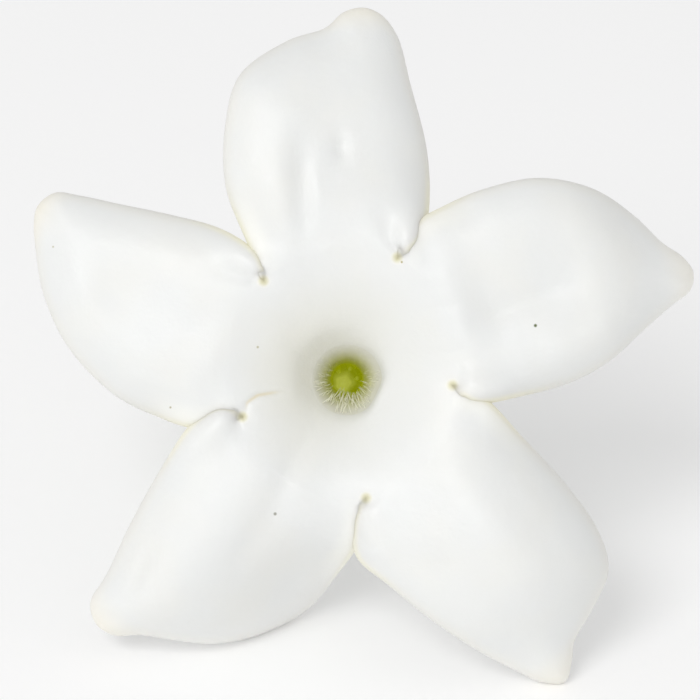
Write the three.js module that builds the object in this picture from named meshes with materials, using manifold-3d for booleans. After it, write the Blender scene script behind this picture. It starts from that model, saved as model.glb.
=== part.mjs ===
// A picked stephanotis blossom (Madagascar jasmine), in millimetres, +Z up.
// It lies on its side, as such a blossom does: on the rims of its two lower lobes and on the end of its short
// green stalk. It faces -Y and a little upwards. The origin is on the surface it lies on, under its middle.
//
// The four pieces:
//   corolla      the waxy white flower: a tube with a swollen foot, whose mouth flares into five lobes
//   gynostegium  the fused column of anthers and style that stands inside the tube's foot
//   calyx        the green cup of five sepals that holds the tube's foot
//   pedicel      the green stalk, cut off short
//
// The flower's own frame is used throughout: the tube's axis is its z axis, z rises out of the mouth, z = 0 is the
// level of the shoulder round the mouth, and the lobes spread in x and y. One group lays it down at the end.

import * as THREE from "three";
import Module from "manifold-3d";

const wasm = await Module();
wasm.setup();

const DEGREE = Math.PI / 180;

// ---------------------------------------------------------------- driving dimensions

// How the blossom lies.
const LIE = { tilt: 28.93, roll: 4.36, side: -0.62, forward: -16.22, lift: 21.21 };

// The mouth and the shallow funnel round it.
const THROAT_R = 2.45; // the mouth's own radius, where its wall turns down
const SHOULDER_R = 7.4; // the funnel's rim
const SHOULDER_SOFT = 1.3; // how gently the funnel turns into the lobes
const FUNNEL_SLOPE = 0.5;
const MOUTH_FLAT = { radius: 2.27, at: -26, fades: 2.5 }; // the mouth's one flat side, and how far down it goes
// The edge over which the funnel falls into the tube: sharp on the flat side, soft on the other; "fades" are the
// distances from the edge between which it ends.
const LIP = { depth: 0.9, sharp: 0.14, soft: 1.3, fades: [2.5, 4.5] };
const FLAT_REACH = 0.3; // the flat side ends where the cosine of the angle from it falls to this
const SQUARENESS = 24; // how tightly the flat side turns into the round

// The inside of the tube, from the mouth down to its foot: radius and height.
const BORE = [
  [2.12, -4.0], [1.75, -4.8], [1.42, -5.8], [1.18, -7.2], [1.1, -10.5], [1.28, -14.0], [1.56, -17.2],
  [2.2, -20.3], [2.95, -22.8], [3.15, -25.0], [2.7, -27.1], [1.4, -28.1],
];

// Wall thickness: of the tube, of the lobes, of the lobes' rims and tips, and of the folded corners.
const TUBE_WALL = 1.15;
const LOBE_WALL = 1.2;
const RIM_WALL = 0.8;
const TIP_WALL = 0.62;
const CORNER_WALL = 0.62;

// The notches between neighbouring lobes: distance from the axis, and direction in degrees.
const NOTCHES = [
  { r: 7.35, at: -2.7 }, { r: 9.2, at: 67.7 }, { r: 9.0, at: 130.0 }, { r: 7.7, at: 199.3 }, { r: 8.3, at: 279.2 },
];

// The five lobes, each between its own notch and the next. Its rim is given in its own frame: x runs out from the
// axis towards "aim", and y to its left. "over" is the rim that overlaps the lobe before, from the notch out to
// the tip. "under" is the rim that the next lobe overlaps, from the tip back to the next notch. "droop" bends the
// outer half down, "hollow" is a trough down the middle, "lean" tips the lobe about its own length, "rise" lifts
// the folded corner, and "shed" lets one side fall away: the left where it is above 0, the right where below.
const LOBES = [
  { // the right lobe
    aim: 16.6, tip: [25.76, 0.28], droop: 2.8, hollow: 0.5, lean: 0.045, rise: 0.6, shed: -1,
    over: [
      [7.4, -3.4], [8.4, -4.2], [11, -4.57], [15.02, -4.67], [18.07, -4.02], [21.02, -2.66],
      [23.53, -1.56], [25.19, -0.89],
    ],
    under: [
      [25.35, 1.51], [24.2, 2.89], [22.73, 5.36], [20.54, 7.85], [17, 9.71], [13, 10.08], [10.32, 9.8],
      [7.4, 9],
    ],
    crease: { turn: 50, length: 1.6, depth: 0.35, width: 0.4 },
    folds: [
      { path: [[10, 1.4], [13.5, 1.6], [16.6, 1.9]], width: 1, height: -0.35 },
      { path: [[8.4, -1.2], [8.4, 2.5], [8.6, 6.4]], width: 1.7, height: 0.42 },
      { path: [[12.8, -2.4], [16.5, -2.1], [20, -1.3]], width: 1.5, height: 0.32 },
    ],
  },
  { // the top lobe
    aim: 87.2, tip: [26.25, 0.1], droop: 1.3, hollow: 0.1, lean: 0.15, rise: 0.5, shed: -0.6,
    over: [
      [9.3, -4], [10.5, -4.9], [13, -5.18], [16.54, -4.8], [21.01, -3.45], [24.3, -2.41], [25.77, -1.23],
    ],
    under: [
      [25.83, 1.53], [24.68, 2.7], [23.61, 5.32], [20.96, 8.54], [17.49, 9.35], [13.02, 9.11], [9, 7.3],
    ],
    crease: { turn: 17, length: 3.9, depth: 0.6, width: 0.4 },
    folds: [
      { path: [[9.6, 3.5], [13, 3.8], [16.6, 4.1]], width: 0.9, height: -0.42 },
      { path: [[15.2, 1.2], [17, 1.35]], width: 0.55, height: -0.3 },
      { path: [[12, 5.2], [20, 4.6]], width: 1.6, height: 0.25 },
      { path: [[11, -2.5], [11, 3]], width: 4, height: 0.6, ends: 1 },
    ],
  },
  { // the left lobe
    aim: 150.2, tip: [24.91, 0.18], droop: 0.7, hollow: 0.4, lean: 0, rise: 0.35, shed: 0.4,
    over: [
      [9, -4], [10.3, -4.7], [13, -4.79], [16.53, -3.89], [20, -2.77], [22.83, -1.87], [24.32, -1.22],
    ],
    under: [
      [24.56, 1.34], [23.15, 3.42], [21.59, 5.3], [18.05, 7.8], [13.5, 9.06], [10.5, 8.89], [7.6, 8.2],
    ],
    crease: { turn: 13, length: 4.8, depth: 0.62, width: 0.42 },
    folds: [
      { path: [[10, 6.4], [14, 6.5], [18, 5.2], [21.5, 2.8]], width: 1.5, height: 0.3 },
      { path: [[2.4, -4.16], [4.8, 0], [2.4, 4.16]], width: 1.7, height: 0.4 },
      { path: [[10.5, -3], [10.5, 3]], width: 4.3, height: 0.8, ends: 1 },
    ],
  },
  { // the lower left lobe
    aim: 224.1, tip: [24.73, 0.08], droop: 1.9, hollow: 0, lean: -0.085, rise: 0.5, shed: 2.8,
    over: [
      [7.1, -4.3], [7.9, -5.1], [10, -5.4], [13.49, -4.67], [18, -3.31], [21.63, -1.96], [23.92, -1.33],
    ],
    under: [
      [24.35, 1.56], [23.07, 2.73], [21.49, 4.9], [19.88, 6.91], [17.16, 8.84], [13.55, 9.98],
      [10.53, 9.61], [7, 8.6],
    ],
    crease: { turn: 10, length: 1.8, depth: 0.4, width: 0.5 },
    folds: [
      { path: [[3.6, 0.9], [7, 1.5], [10, 2.9], [14.4, 3.8]], width: 0.9, height: -0.26 },
      { path: [[18, -0.9], [21.2, 0.3]], width: 0.5, height: -0.26 },
      { path: [[9, 0.2], [15, 1.2], [20, 1.4]], width: 2.4, height: 0.5, ends: 1 },
      { path: [[8, 7.6], [10.5, 8.6], [13.5, 8.9]], width: 3, height: -1, ends: 1 },
    ],
  },
  { // the lower right lobe
    aim: 305.4, tip: [26.47, 0.2], droop: 2.6, hollow: 0, lean: 0.05, rise: 0.4, shed: 0.9,
    over: [
      [7.7, -4.6], [8.6, -5.6], [10.48, -6.66], [13.53, -5.93], [17.02, -4.97], [21.07, -3.46],
      [23.72, -2.18], [25.56, -1.14],
    ],
    under: [
      [25.46, 1.49], [24.44, 2.38], [23.36, 4.67], [21.68, 7.3], [19.03, 8.26], [15, 8.31], [10.54, 7.75],
      [6.6, 7.1],
    ],
    crease: { turn: 4, length: 0.9, depth: 0.2, width: 0.35 },
    folds: [
      { path: [[6.3, 2.6], [11, 2.9], [17, 2.6]], width: 3, height: 0.4, ends: 1 },
      { path: [[15.5, -1], [15.5, 1]], width: 5.5, height: 0.9, ends: 1 },
      { path: [[13.2, -2.2], [15, -1.9]], width: 0.9, height: -0.16 },
    ],
  },
];

// How the rims roll down: each roll is a quarter of an ellipse, so high and so far in from the edge. The two small
// ones are the rolls of the folded corner and of the rim tucked under it; "tip" scales the large one at the tip.
const ROLL = {
  rim: { height: 1.9, reach: 3.1 },
  over: { height: 0.62, reach: 1.25 },
  under: { height: 0.5, reach: 1.0 },
  tip: { height: 0.72, reach: 0.66 },
};
const EASING = { height: 0.75, reach: 6.5 }; // the gentler fall that leads into the roll
const PIT_SHARE = 0.32; // how much of the roll is left in the pit at the notch itself

// The folded corner by each notch: the path of its ridge from the notch, in the lobe's frame.
const CORNER = { path: [[1.3, -0.7], [3.2, -1.4]], width: 1.15 };
const CREASE_SPREAD = 0.16; // how fast the crease inside the corner widens
const CLEARANCE = 1.25; // how far the tucked rim passes below the top of the corner over it

const HOLLOW = { from: 8.5, to: 20.5, rise: 3, fall: 5, aside: 2.3, width: 2.6 };
const DROOP = { early: 0.8, late: 1.2 };
const SHED = { from: 1, scale: 30 };
const FOLD_ENDS = 0.35; // the share of a fold's height that is left at its two ends, where the fold gives none

// Where each part of the relief sets in and is complete. Places across a lobe go from -1, its over rim, to 1, its
// under rim, and places out along it from 0 to 1 at its tip; the others are in millimetres.
const SPAN = {
  underSide: [-0.5, 0.5], // across: where the under rim's roll takes over
  tipRoll: [0.7, 1], // out: where the tip's smaller roll takes over
  overRoll: [0.4, 4.5], // from the notch: where the over rim's roll reaches its full size
  underRoll: [2.2, 6.5], // the same for the under rim
  pit: [0, 1.4], // from the notch: the pit
  easing: [1, 7], // from the notch
  free: [0, 1.3], // along the rim: where the lobe parts from the funnel
  broad: [0, 4.5], // the same for its broad turns, the lean and the shed
  tuckRun: [0, 2.2], // along the rim: where the tuck sets in
  tuckSide: [0, 0.4], // across
  tuckIn: [0.2, 2.2], // from the notch: where the tuck sets in
  tuckOut: [4, 7.5], // from the notch: where it ends
  tuckEdge: [0.8, 3.6], // from the rim: how far in it goes
  earlyDroop: [11.5, 30], // out from the axis
  lateDroop: [18, 28], // out from the axis
  lean: [7, 14], // out from the axis
  shed: [5, 13], // out from the axis
  mouthFold: [0, 1.5], // from the mouth's edge: where the folds set in
  rimWall: [0.55, 1], // across or out: where the wall thins towards the rim
  tipWall: [0.86, 1], // out
  cornerWall: [0.2, 2.6], // from the notch
  crease: [-0.3, 0.5], // along the crease
};

// The gynostegium: a five-sided column in the tube's foot, domed, with an anther scale on each side. Its top
// stands a little off the axis.
const COLUMN = { foot: -27.7, top: -18.9, radius: 1.2, dome: 0.55, ribs: 0.07, off: [-0.3, -0.35], sides: 20, rows: 8 };
// The column's radius as a share of its full one: at the foot, the swelling above it, and the narrowing at the top.
const GIRTH = { foot: 0.78, swell: 0.5, narrow: 0.42 };
const ANTHER = { width: 1.0, thick: 0.6, foot: -26.4, top: -20.8, lean: 0.6, out: 1.08, point: 0.3 };

// The calyx: a receptacle under the tube's foot, and five sepals that rise from it and hug the foot.
const GAP = 0.3; // between neighbouring pieces
const RECEPTACLE = { top: -29.65, foot: -31.1, radius: 2.2, neck: 1.8, crown: 1.8, socket: 0.5 };
const SEPAL = { root: [0.9, -29.62], width: 3.5, thick: 0.62, first: 52, spread: 0.4 };
// The five sepals in turn: each one's length, and how far it stands outside the innermost.
const SEPALS = [
  { length: 6.2, out: 0 }, { length: 5.95, out: 0.1 }, { length: 6.3, out: 0.2 }, { length: 6.05, out: 0.05 },
  { length: 6.15, out: 0.15 },
];

// The pedicel: a round stalk that bows a little, thicker at both ends.
const PEDICEL = { length: 13.0, radius: 0.95, head: 1.25, foot: 1.07, bow: 1.1, sides: 14 };

// Mesh fineness.
const COLUMNS_PER_LOBE = 14;
const FUNNEL_CROWDING = 1.35; // above 1, the funnel's rings stand closer together towards the mouth
const LOBE_ROWS = 16;
const FUNNEL_RINGS = 7;
const TUBE_RINGS = 15;
const RIM_STEPS = 3;
const LINE_STEPS = 240; // the steps of the lines that rims and walls follow

// ---------------------------------------------------------------- small mathematics

const clamp01 = (x) => Math.min(1, Math.max(0, x));
const eased = ([low, high], x) => {
  const t = clamp01((x - low) / (high - low));
  return t * t * (3 - 2 * t);
};
const mix = (a, b, t) => a + (b - a) * t;
const bell = (x, width) => Math.exp(-((x / width) ** 2));
const bend = (x, soft) => soft * Math.log(1 + Math.exp(x / soft)); // 0 below 0, and x above it, with a soft bend
const polar = (r, degrees) => [r * Math.cos(degrees * DEGREE), r * Math.sin(degrees * DEGREE)];

function turned([x, y], degrees) {
  const c = Math.cos(degrees * DEGREE);
  const s = Math.sin(degrees * DEGREE);
  return [c * x - s * y, s * x + c * y];
}

// A smooth line through the points, as many short straight steps.
function lineThrough(points, steps) {
  const curve = new THREE.CatmullRomCurve3(points.map(([x, y]) => new THREE.Vector3(x, y, 0)), false, "centripetal");
  return curve.getPoints(steps).map((p) => [p.x, p.y]);
}

// The line's length up to each of its points.
function lengthsOf(line) {
  const reached = [0];
  for (let i = 1; i < line.length; i++)
    reached.push(reached[i - 1] + Math.hypot(line[i][0] - line[i - 1][0], line[i][1] - line[i - 1][1]));
  return reached;
}

// The point at a share of the line's length.
function along(line) {
  const reached = lengthsOf(line);
  const whole = reached[reached.length - 1];
  return (share) => {
    const want = share * whole;
    let i = 1;
    while (i < line.length - 1 && reached[i] < want) i++;
    const t = (want - reached[i - 1]) / (reached[i] - reached[i - 1]);
    return [mix(line[i - 1][0], line[i][0], t), mix(line[i - 1][1], line[i][1], t)];
  };
}

// How far a point is from a line, and the share of the line's length at the nearest place.
function nearestOnLine([x, y], line) {
  let [far, share, reached] = [Infinity, 0, 0];
  for (let i = 1; i < line.length; i++) {
    const [ax, ay] = line[i - 1];
    const [dx, dy] = [line[i][0] - ax, line[i][1] - ay];
    const t = clamp01(((x - ax) * dx + (y - ay) * dy) / (dx * dx + dy * dy));
    const gap = Math.hypot(x - ax - t * dx, y - ay - t * dy);
    const length = Math.hypot(dx, dy);
    if (gap < far) [far, share] = [gap, reached + t * length];
    reached += length;
  }
  return { far, share: share / reached };
}

// ---------------------------------------------------------------- the corolla's face, as heights over x and y

const funnelHeight = (r) => -FUNNEL_SLOPE * bend(SHOULDER_R - r, SHOULDER_SOFT);

// How far the funnel falls over the mouth's edge, at a distance outside that edge and in a direction.
function lipDrop(beyond, at) {
  const softness = (1 - Math.cos((at - MOUTH_FLAT.at) * DEGREE)) / 2;
  return LIP.depth * Math.exp(-beyond / mix(LIP.sharp, LIP.soft, softness)) * (1 - eased(LIP.fades, beyond));
}

// The mouth's radius in a direction: round, with one side pressed flat.
function mouthRadius(at) {
  const straight = MOUTH_FLAT.radius / Math.max(Math.cos((at - MOUTH_FLAT.at) * DEGREE), FLAT_REACH);
  return (straight ** -SQUARENESS + THROAT_R ** -SQUARENESS) ** (-1 / SQUARENESS);
}

// How far a rim's roll takes the face down, at distances from the rim and from the nearest notch.
function rolled(edge, away, across = 0, out = 0) {
  const under = eased(SPAN.underSide, across);
  const grown = mix(eased(SPAN.overRoll, away), eased(SPAN.underRoll, away), under);
  const tipped = eased(SPAN.tipRoll, out);
  const size = (key) => {
    const corner = mix(ROLL.over[key], ROLL.under[key], under);
    return mix(corner, ROLL.rim[key] * mix(1, ROLL.tip[key], tipped), grown);
  };
  const inside = clamp01(1 - edge / size("reach"));
  const steep = size("height") * (1 - Math.sqrt(1 - inside ** 2));
  const easy = EASING.height * clamp01(1 - edge / EASING.reach) ** 2 * eased(SPAN.easing, away);
  return mix(PIT_SHARE, 1, eased(SPAN.pit, away)) * steep + easy;
}

// What all the lobes' folds add to the height: each is a soft ridge, or a groove where its height is below 0.
function folded(point) {
  let sum = 0;
  for (const lobe of LOBES)
    for (const { path, width, height, ends = FOLD_ENDS } of lobe.folds) {
      const { far, share } = nearestOnLine(turned(point, -lobe.aim), path);
      const fading = (1 - (2 * share - 1) ** 4) ** 2;
      sum += height * bell(far, width) * mix(ends, 1, fading);
    }
  return sum;
}

// How deep the crease inside a folded corner is, at a place measured from the notch.
function creased({ turn, length, depth, width }, fromNotch) {
  const [run, off] = turned(fromNotch, -turn);
  const fading = clamp01(1 - run / length) * eased(SPAN.crease, run);
  return depth * fading * bell(off, width + CREASE_SPREAD * Math.max(0, run));
}

const notchPoints = NOTCHES.map(({ r, at }) => polar(r, at));
const notchDistance = ([x, y]) => Math.min(...notchPoints.map(([nx, ny]) => Math.hypot(x - nx, y - ny)));

// The wall thins towards the notches.
const wallAt = (point, body) => mix(CORNER_WALL, body, eased(SPAN.cornerWall, notchDistance(point)));

// One lobe: its two rims and its tip in the flower's frame, and the height of its face.
function lobeShape(index) {
  const lobe = LOBES[index];
  const start = notchPoints[index];
  const end = notchPoints[(index + 1) % NOTCHES.length];
  const place = (list) => list.map((p) => turned(p, lobe.aim));
  const tip = turned(lobe.tip, lobe.aim);
  const rim = lineThrough([start, ...place(lobe.over), tip, ...place(lobe.under), end], LINE_STEPS);
  const fromTip = rim.map(([x, y]) => Math.hypot(x - tip[0], y - tip[1]));
  const peak = fromTip.indexOf(Math.min(...fromTip));
  const [over, under] = [rim.slice(0, peak + 1), rim.slice(peak).reverse()];
  const overLength = lengthsOf(over)[peak];
  const notch = turned(start, -lobe.aim);
  const overlap = CLEARANCE - LOBES[(index + 1) % LOBES.length].rise;

  // The distance to the two rims, blended so that no ridge shows where they are equal.
  function rimDistance(point) {
    const [a, b] = [over, under].map((line) => Math.max(nearestOnLine(point, line).far, 1e-6));
    return (a ** -3 + b ** -3) ** (-1 / 3);
  }

  function height(point, across, out) {
    const [x, y] = turned(point, -lobe.aim);
    const fromNotch = [x - notch[0], y - notch[1]];
    const away = notchDistance(point);
    const run = out * overLength;
    const free = eased(SPAN.free, run);
    const broad = eased(SPAN.broad, run);
    const edge = mix(away, rimDistance(point), free);
    let z = funnelHeight(Math.hypot(...point)) - rolled(edge, away, across * free, out) + folded(point);
    z -= lobe.droop * (DROOP.early * eased(SPAN.earlyDroop, x) + DROOP.late * eased(SPAN.lateDroop, x));
    const trough =
      eased([HOLLOW.from, HOLLOW.from + HOLLOW.rise], x) * (1 - eased([HOLLOW.to - HOLLOW.fall, HOLLOW.to], x));
    z -= free * lobe.hollow * trough * bell(y - HOLLOW.aside, HOLLOW.width);
    z += free * lobe.rise * bell(nearestOnLine(fromNotch, CORNER.path).far, CORNER.width);
    z -= free * creased(lobe.crease, fromNotch);
    z += broad * lobe.lean * y * eased(SPAN.lean, x);
    const aside = Math.max(0, y * Math.sign(lobe.shed) - SHED.from);
    z -= (broad * Math.abs(lobe.shed) * aside ** 2 * eased(SPAN.shed, x)) / SHED.scale;
    const nearRim = eased(SPAN.tuckIn, away) * (1 - eased(SPAN.tuckOut, away)) * (1 - eased(SPAN.tuckEdge, edge));
    return z - overlap * eased(SPAN.tuckRun, run) * nearRim * eased(SPAN.tuckSide, across);
  }
  return { over: along(over), under: along(under), tip, height };
}

// ---------------------------------------------------------------- sheets that are given a thickness

// A surface that is given a thickness: its vertices, each with the wall's thickness there, and its triangles.
class Sheet {
  constructor() {
    this.points = [];
    this.walls = [];
    this.triangles = [];
  }

  add(point, wall) {
    this.points.push(new THREE.Vector3(...point));
    this.walls.push(wall);
    return this.points.length - 1;
  }

  // Two triangles between two neighbouring rows, or one where the rows share a corner.
  quad(a, b, c, d) {
    if (a !== b && b !== c && a !== c) this.triangles.push([a, b, c]);
    if (a !== c && c !== d && a !== d) this.triangles.push([a, c, d]);
  }

  normals() {
    const sums = this.points.map(() => new THREE.Vector3());
    for (const [a, b, c] of this.triangles) {
      const ab = this.points[b].clone().sub(this.points[a]);
      const n = ab.cross(this.points[c].clone().sub(this.points[a]));
      for (const v of [a, b, c]) sums[v].add(n);
    }
    return sums.map((n) => n.normalize());
  }

  // The edges that only one triangle has, in that triangle's direction.
  freeEdges() {
    const edges = new Map();
    for (const [a, b, c] of this.triangles)
      for (const [u, v] of [[a, b], [b, c], [c, a]])
        if (!edges.delete(v + " " + u)) edges.set(u + " " + v, [u, v]);
    return [...edges.values()];
  }

  // The closed solid: the surface, its back, and round rims between them.
  solid() {
    const normals = this.normals();
    const back = this.points.map((p, i) => p.clone().addScaledVector(normals[i], -this.walls[i]));
    const edges = this.freeEdges();
    const outward = new Map();
    for (const [u, v] of edges) {
      const side = this.points[v].clone().sub(this.points[u]).cross(normals[u]).normalize();
      for (const w of [u, v]) outward.set(w, (outward.get(w) ?? new THREE.Vector3()).add(side));
    }
    const rimPoint = (v, step) => {
      const angle = (Math.PI * step) / RIM_STEPS;
      const middle = this.points[v].clone().add(back[v]).multiplyScalar(0.5);
      const toFace = this.points[v].clone().sub(middle);
      const bulge = (this.walls[v] / 2) * Math.sin(angle);
      const out = outward.get(v).clone().normalize();
      return middle.addScaledVector(toFace, Math.cos(angle)).addScaledVector(out, bulge);
    };
    const faces = new Faces();
    for (const [a, b, c] of this.triangles) {
      faces.triangle(this.points[a], this.points[b], this.points[c]);
      faces.triangle(back[c], back[b], back[a]);
    }
    for (const [u, v] of edges)
      for (let k = 0; k < RIM_STEPS; k++) {
        const [p, q, r, s] = [rimPoint(u, k), rimPoint(v, k), rimPoint(v, k + 1), rimPoint(u, k + 1)];
        faces.triangle(q, p, s);
        faces.triangle(q, s, r);
      }
    return faces.solid();
  }
}

// Loose triangles that become one closed solid, their shared corners merged.
class Faces {
  constructor() {
    this.vertices = new Map();
    this.corners = [];
  }

  triangle(...corners) {
    const ids = corners.map((p) => {
      const key = [p.x, p.y, p.z].map((c) => Math.round(c * 1e5)).join(" ");
      if (!this.vertices.has(key)) this.vertices.set(key, { id: this.vertices.size, p });
      return this.vertices.get(key).id;
    });
    if (new Set(ids).size === 3) this.corners.push(...ids);
  }

  solid() {
    const vertProperties = new Float32Array([...this.vertices.values()].flatMap(({ p }) => [p.x, p.y, p.z]));
    return new wasm.Manifold(new wasm.Mesh({ numProp: 3, vertProperties, triVerts: new Uint32Array(this.corners) }));
  }
}

function geometryOf(solid) {
  const { vertProperties, triVerts } = solid.getMesh();
  const geometry = new THREE.BufferGeometry();
  geometry.setAttribute("position", new THREE.BufferAttribute(vertProperties, 3));
  geometry.setIndex(new THREE.BufferAttribute(triVerts, 1));
  geometry.computeVertexNormals();
  return geometry;
}

// Rings of points joined into a closed tube, with a middle point capping each end.
function ringsSolid(rings, firstCap, lastCap) {
  const mesh = new Faces();
  const vec = (p) => new THREE.Vector3(...p);
  for (let i = 1; i < rings.length; i++)
    rings[i].forEach((p, j) => {
      const next = (j + 1) % rings[i].length;
      mesh.triangle(vec(rings[i - 1][j]), vec(rings[i - 1][next]), vec(rings[i][next]));
      mesh.triangle(vec(rings[i - 1][j]), vec(rings[i][next]), vec(p));
    });
  const cap = (ring, middle, up) =>
    ring.forEach((p, j) => {
      const q = ring[(j + 1) % ring.length];
      if (up) mesh.triangle(vec(p), vec(q), vec(middle));
      else mesh.triangle(vec(q), vec(p), vec(middle));
    });
  cap(rings[0], firstCap, false);
  cap(rings[rings.length - 1], lastCap, true);
  return mesh.solid();
}

// ---------------------------------------------------------------- the corolla

// Where the columns of the mesh stand between a lobe's two notches, from -1 to 1: close together at the rims.
const evenAcross = (column) => (2 * column) / COLUMNS_PER_LOBE - 1;
const acrossAt = (column) => Math.sin((Math.PI / 2) * evenAcross(column));

// The notch ring: a lobe's first row, an arc from its own notch to the next.
function notchRing(index, across) {
  const from = NOTCHES[index];
  const to = NOTCHES[(index + 1) % NOTCHES.length];
  const span = (to.at - from.at + 360) % 360;
  const share = (across + 1) / 2;
  return { r: mix(from.r, to.r, share), at: from.at + span * share };
}

// The line of the tube's inside, from the mouth down to its foot.
const boreLine = lineThrough([[THROAT_R, funnelHeight(THROAT_R) - LIP.depth], ...BORE], LINE_STEPS);

// One ring of the trunk: "gathered" goes from evenly spaced columns to those of the lobes' first rows.
function trunkRing(gathered, place) {
  const ring = [];
  for (let index = 0; index < LOBES.length; index++)
    for (let column = 0; column < COLUMNS_PER_LOBE; column++)
      ring.push(place(notchRing(index, mix(evenAcross(column), acrossAt(column), gathered))));
  return ring;
}

function corolla() {
  const sheet = new Sheet();
  const bore = along(boreLine);
  const rings = [];
  const top = boreLine[0][1];
  for (let i = 0; i <= TUBE_RINGS; i++) {
    const [r, z] = bore(1 - i / TUBE_RINGS);
    const flattened = eased([-MOUTH_FLAT.fades, 0], z - top);
    rings.push(trunkRing(0, ({ at }) => {
      const pressed = mix(1, mouthRadius(at) / THROAT_R, flattened);
      return sheet.add([...polar(r * pressed, at), z], TUBE_WALL);
    }));
  }
  for (let i = 1; i <= FUNNEL_RINGS; i++) {
    const share = (i / FUNNEL_RINGS) ** FUNNEL_CROWDING;
    rings.push(trunkRing(share, ({ r: rimRadius, at }) => {
      const r = mix(mouthRadius(at), rimRadius, share);
      const point = polar(r, at);
      const away = notchDistance(point);
      const beyond = r - mix(mouthRadius(at), THROAT_R, share);
      const relief = folded(point) * eased(SPAN.mouthFold, beyond) - rolled(away, away);
      const z = funnelHeight(THROAT_R + beyond) - lipDrop(beyond, at) + relief;
      return sheet.add([...point, z], wallAt(point, mix(TUBE_WALL, LOBE_WALL, share)));
    }));
  }
  for (let i = 1; i < rings.length; i++)
    rings[i].forEach((corner, j) => {
      const next = (j + 1) % rings[i].length;
      sheet.quad(rings[i - 1][j], corner, rings[i][next], rings[i - 1][next]);
    });
  LOBES.forEach((_, index) => addLobe(sheet, index, rings[rings.length - 1]));
  return sheet.solid();
}

function addLobe(sheet, index, ringTop) {
  const { over, under, tip, height } = lobeShape(index);
  const columns = Array.from({ length: COLUMNS_PER_LOBE + 1 }, (_, q) => q);
  const first = columns.map((q) => ringTop[(index * COLUMNS_PER_LOBE + q) % ringTop.length]);
  const arc = first.map((v) => [sheet.points[v].x, sheet.points[v].y]);
  const between = (from, to, share) => [mix(from[0], to[0], share), mix(from[1], to[1], share)];
  const rows = [first];
  for (let p = 1; p < LOBE_ROWS; p++) {
    const out = (1 - Math.cos((Math.PI * p) / LOBE_ROWS)) / 2;
    const [left, right] = [over(out), under(out)];
    rows.push(columns.map((q) => {
      const across = acrossAt(q);
      const share = (across + 1) / 2;
      const straight = between(left, right, share);
      const chord = between(arc[0], arc[COLUMNS_PER_LOBE], share);
      const point = straight.map((value, k) => value + (arc[q][k] - chord[k]) * (1 - out) ** 2);
      const rimward = eased(SPAN.rimWall, Math.max(Math.abs(across), out));
      const body = mix(mix(LOBE_WALL, RIM_WALL, rimward), TIP_WALL, eased(SPAN.tipWall, out));
      return sheet.add([...point, height(point, across, out)], wallAt(point, body));
    }));
  }
  const last = sheet.add([...tip, height(tip, 0, 1)], TIP_WALL);
  rows.push(columns.map(() => last));
  for (let p = 1; p < rows.length; p++)
    for (let q = 0; q < COLUMNS_PER_LOBE; q++)
      sheet.quad(rows[p - 1][q], rows[p][q], rows[p][q + 1], rows[p - 1][q + 1]);
}

// ---------------------------------------------------------------- the gynostegium

function gynostegium() {
  const { foot, top, radius, dome, sides, rows } = COLUMN;
  const ringAt = (r, z) => {
    const leaning = eased([foot, top], z);
    return Array.from({ length: sides }, (_, j) => {
      const at = (360 * j) / sides;
      const [x, y] = polar(r * (1 + COLUMN.ribs * Math.cos(5 * at * DEGREE)), at);
      return [x + COLUMN.off[0] * leaning, y + COLUMN.off[1] * leaning, z];
    });
  };
  const girth = (t) => GIRTH.foot + GIRTH.swell * Math.sin(Math.PI * Math.min(1, t * 1.15)) - GIRTH.narrow * t * t;
  const radiusAt = (t) => radius * girth(t);
  const rings = [];
  for (let i = 0; i <= rows; i++) rings.push(ringAt(radiusAt(i / rows), mix(foot, top, i / rows)));
  for (const rising of [30, 60])
    rings.push(ringAt(radiusAt(1) * Math.cos(rising * DEGREE), top + dome * Math.sin(rising * DEGREE)));
  let solid = ringsSolid(rings, [0, 0, foot - 0.1], [...COLUMN.off, top + dome]);
  for (let k = 0; k < 5; k++) solid = solid.add(antherScale(k * 72));
  return solid;
}

// One anther with its pointed scale, leaning in over the column.
function antherScale(at) {
  const rows = 6;
  const middleAt = (t) => COLUMN.radius * ANTHER.out - ANTHER.lean * t * t;
  const rings = [];
  for (let i = 0; i < rows; i++) {
    const t = i / (rows - 1);
    const z = mix(ANTHER.foot, ANTHER.top, t);
    const half = (ANTHER.width / 2) * (0.35 + 0.65 * Math.sin(Math.PI * (0.12 + 0.8 * t)));
    const [inner, outer] = [middleAt(t) - ANTHER.thick / 2, middleAt(t) + ANTHER.thick / 2];
    const ring = [[inner, -half], [outer, -half * 0.7], [outer, half * 0.7], [inner, half]];
    rings.push(ring.map((p) => [...turned(p, at), z]));
  }
  const end = (t, z) => [...turned([middleAt(t), 0], at), z];
  return ringsSolid(rings, end(0, ANTHER.foot - 0.15), end(1, ANTHER.top + ANTHER.point));
}

// ---------------------------------------------------------------- calyx and pedicel

// The line that a sepal's inner face follows, from its root in the receptacle and up round the tube's foot.
function sepalLine() {
  const clear = TUBE_WALL + GAP;
  const outside = [];
  for (let i = 1; i < boreLine.length; i++) {
    const [r, z] = boreLine[i];
    const [dr, dz] = [r - boreLine[i - 1][0], z - boreLine[i - 1][1]];
    const length = Math.hypot(dr, dz);
    outside.push([r - (dz / length) * clear, z + (dr / length) * clear]);
  }
  const top = boreLine[boreLine.length - 1][1] + Math.max(...SEPALS.map(({ length }) => length));
  const foot = outside.reverse().filter(([, z]) => z < top);
  return lineThrough([SEPAL.root, ...foot.filter((_, i) => i % 8 === 0)], 160);
}

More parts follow.
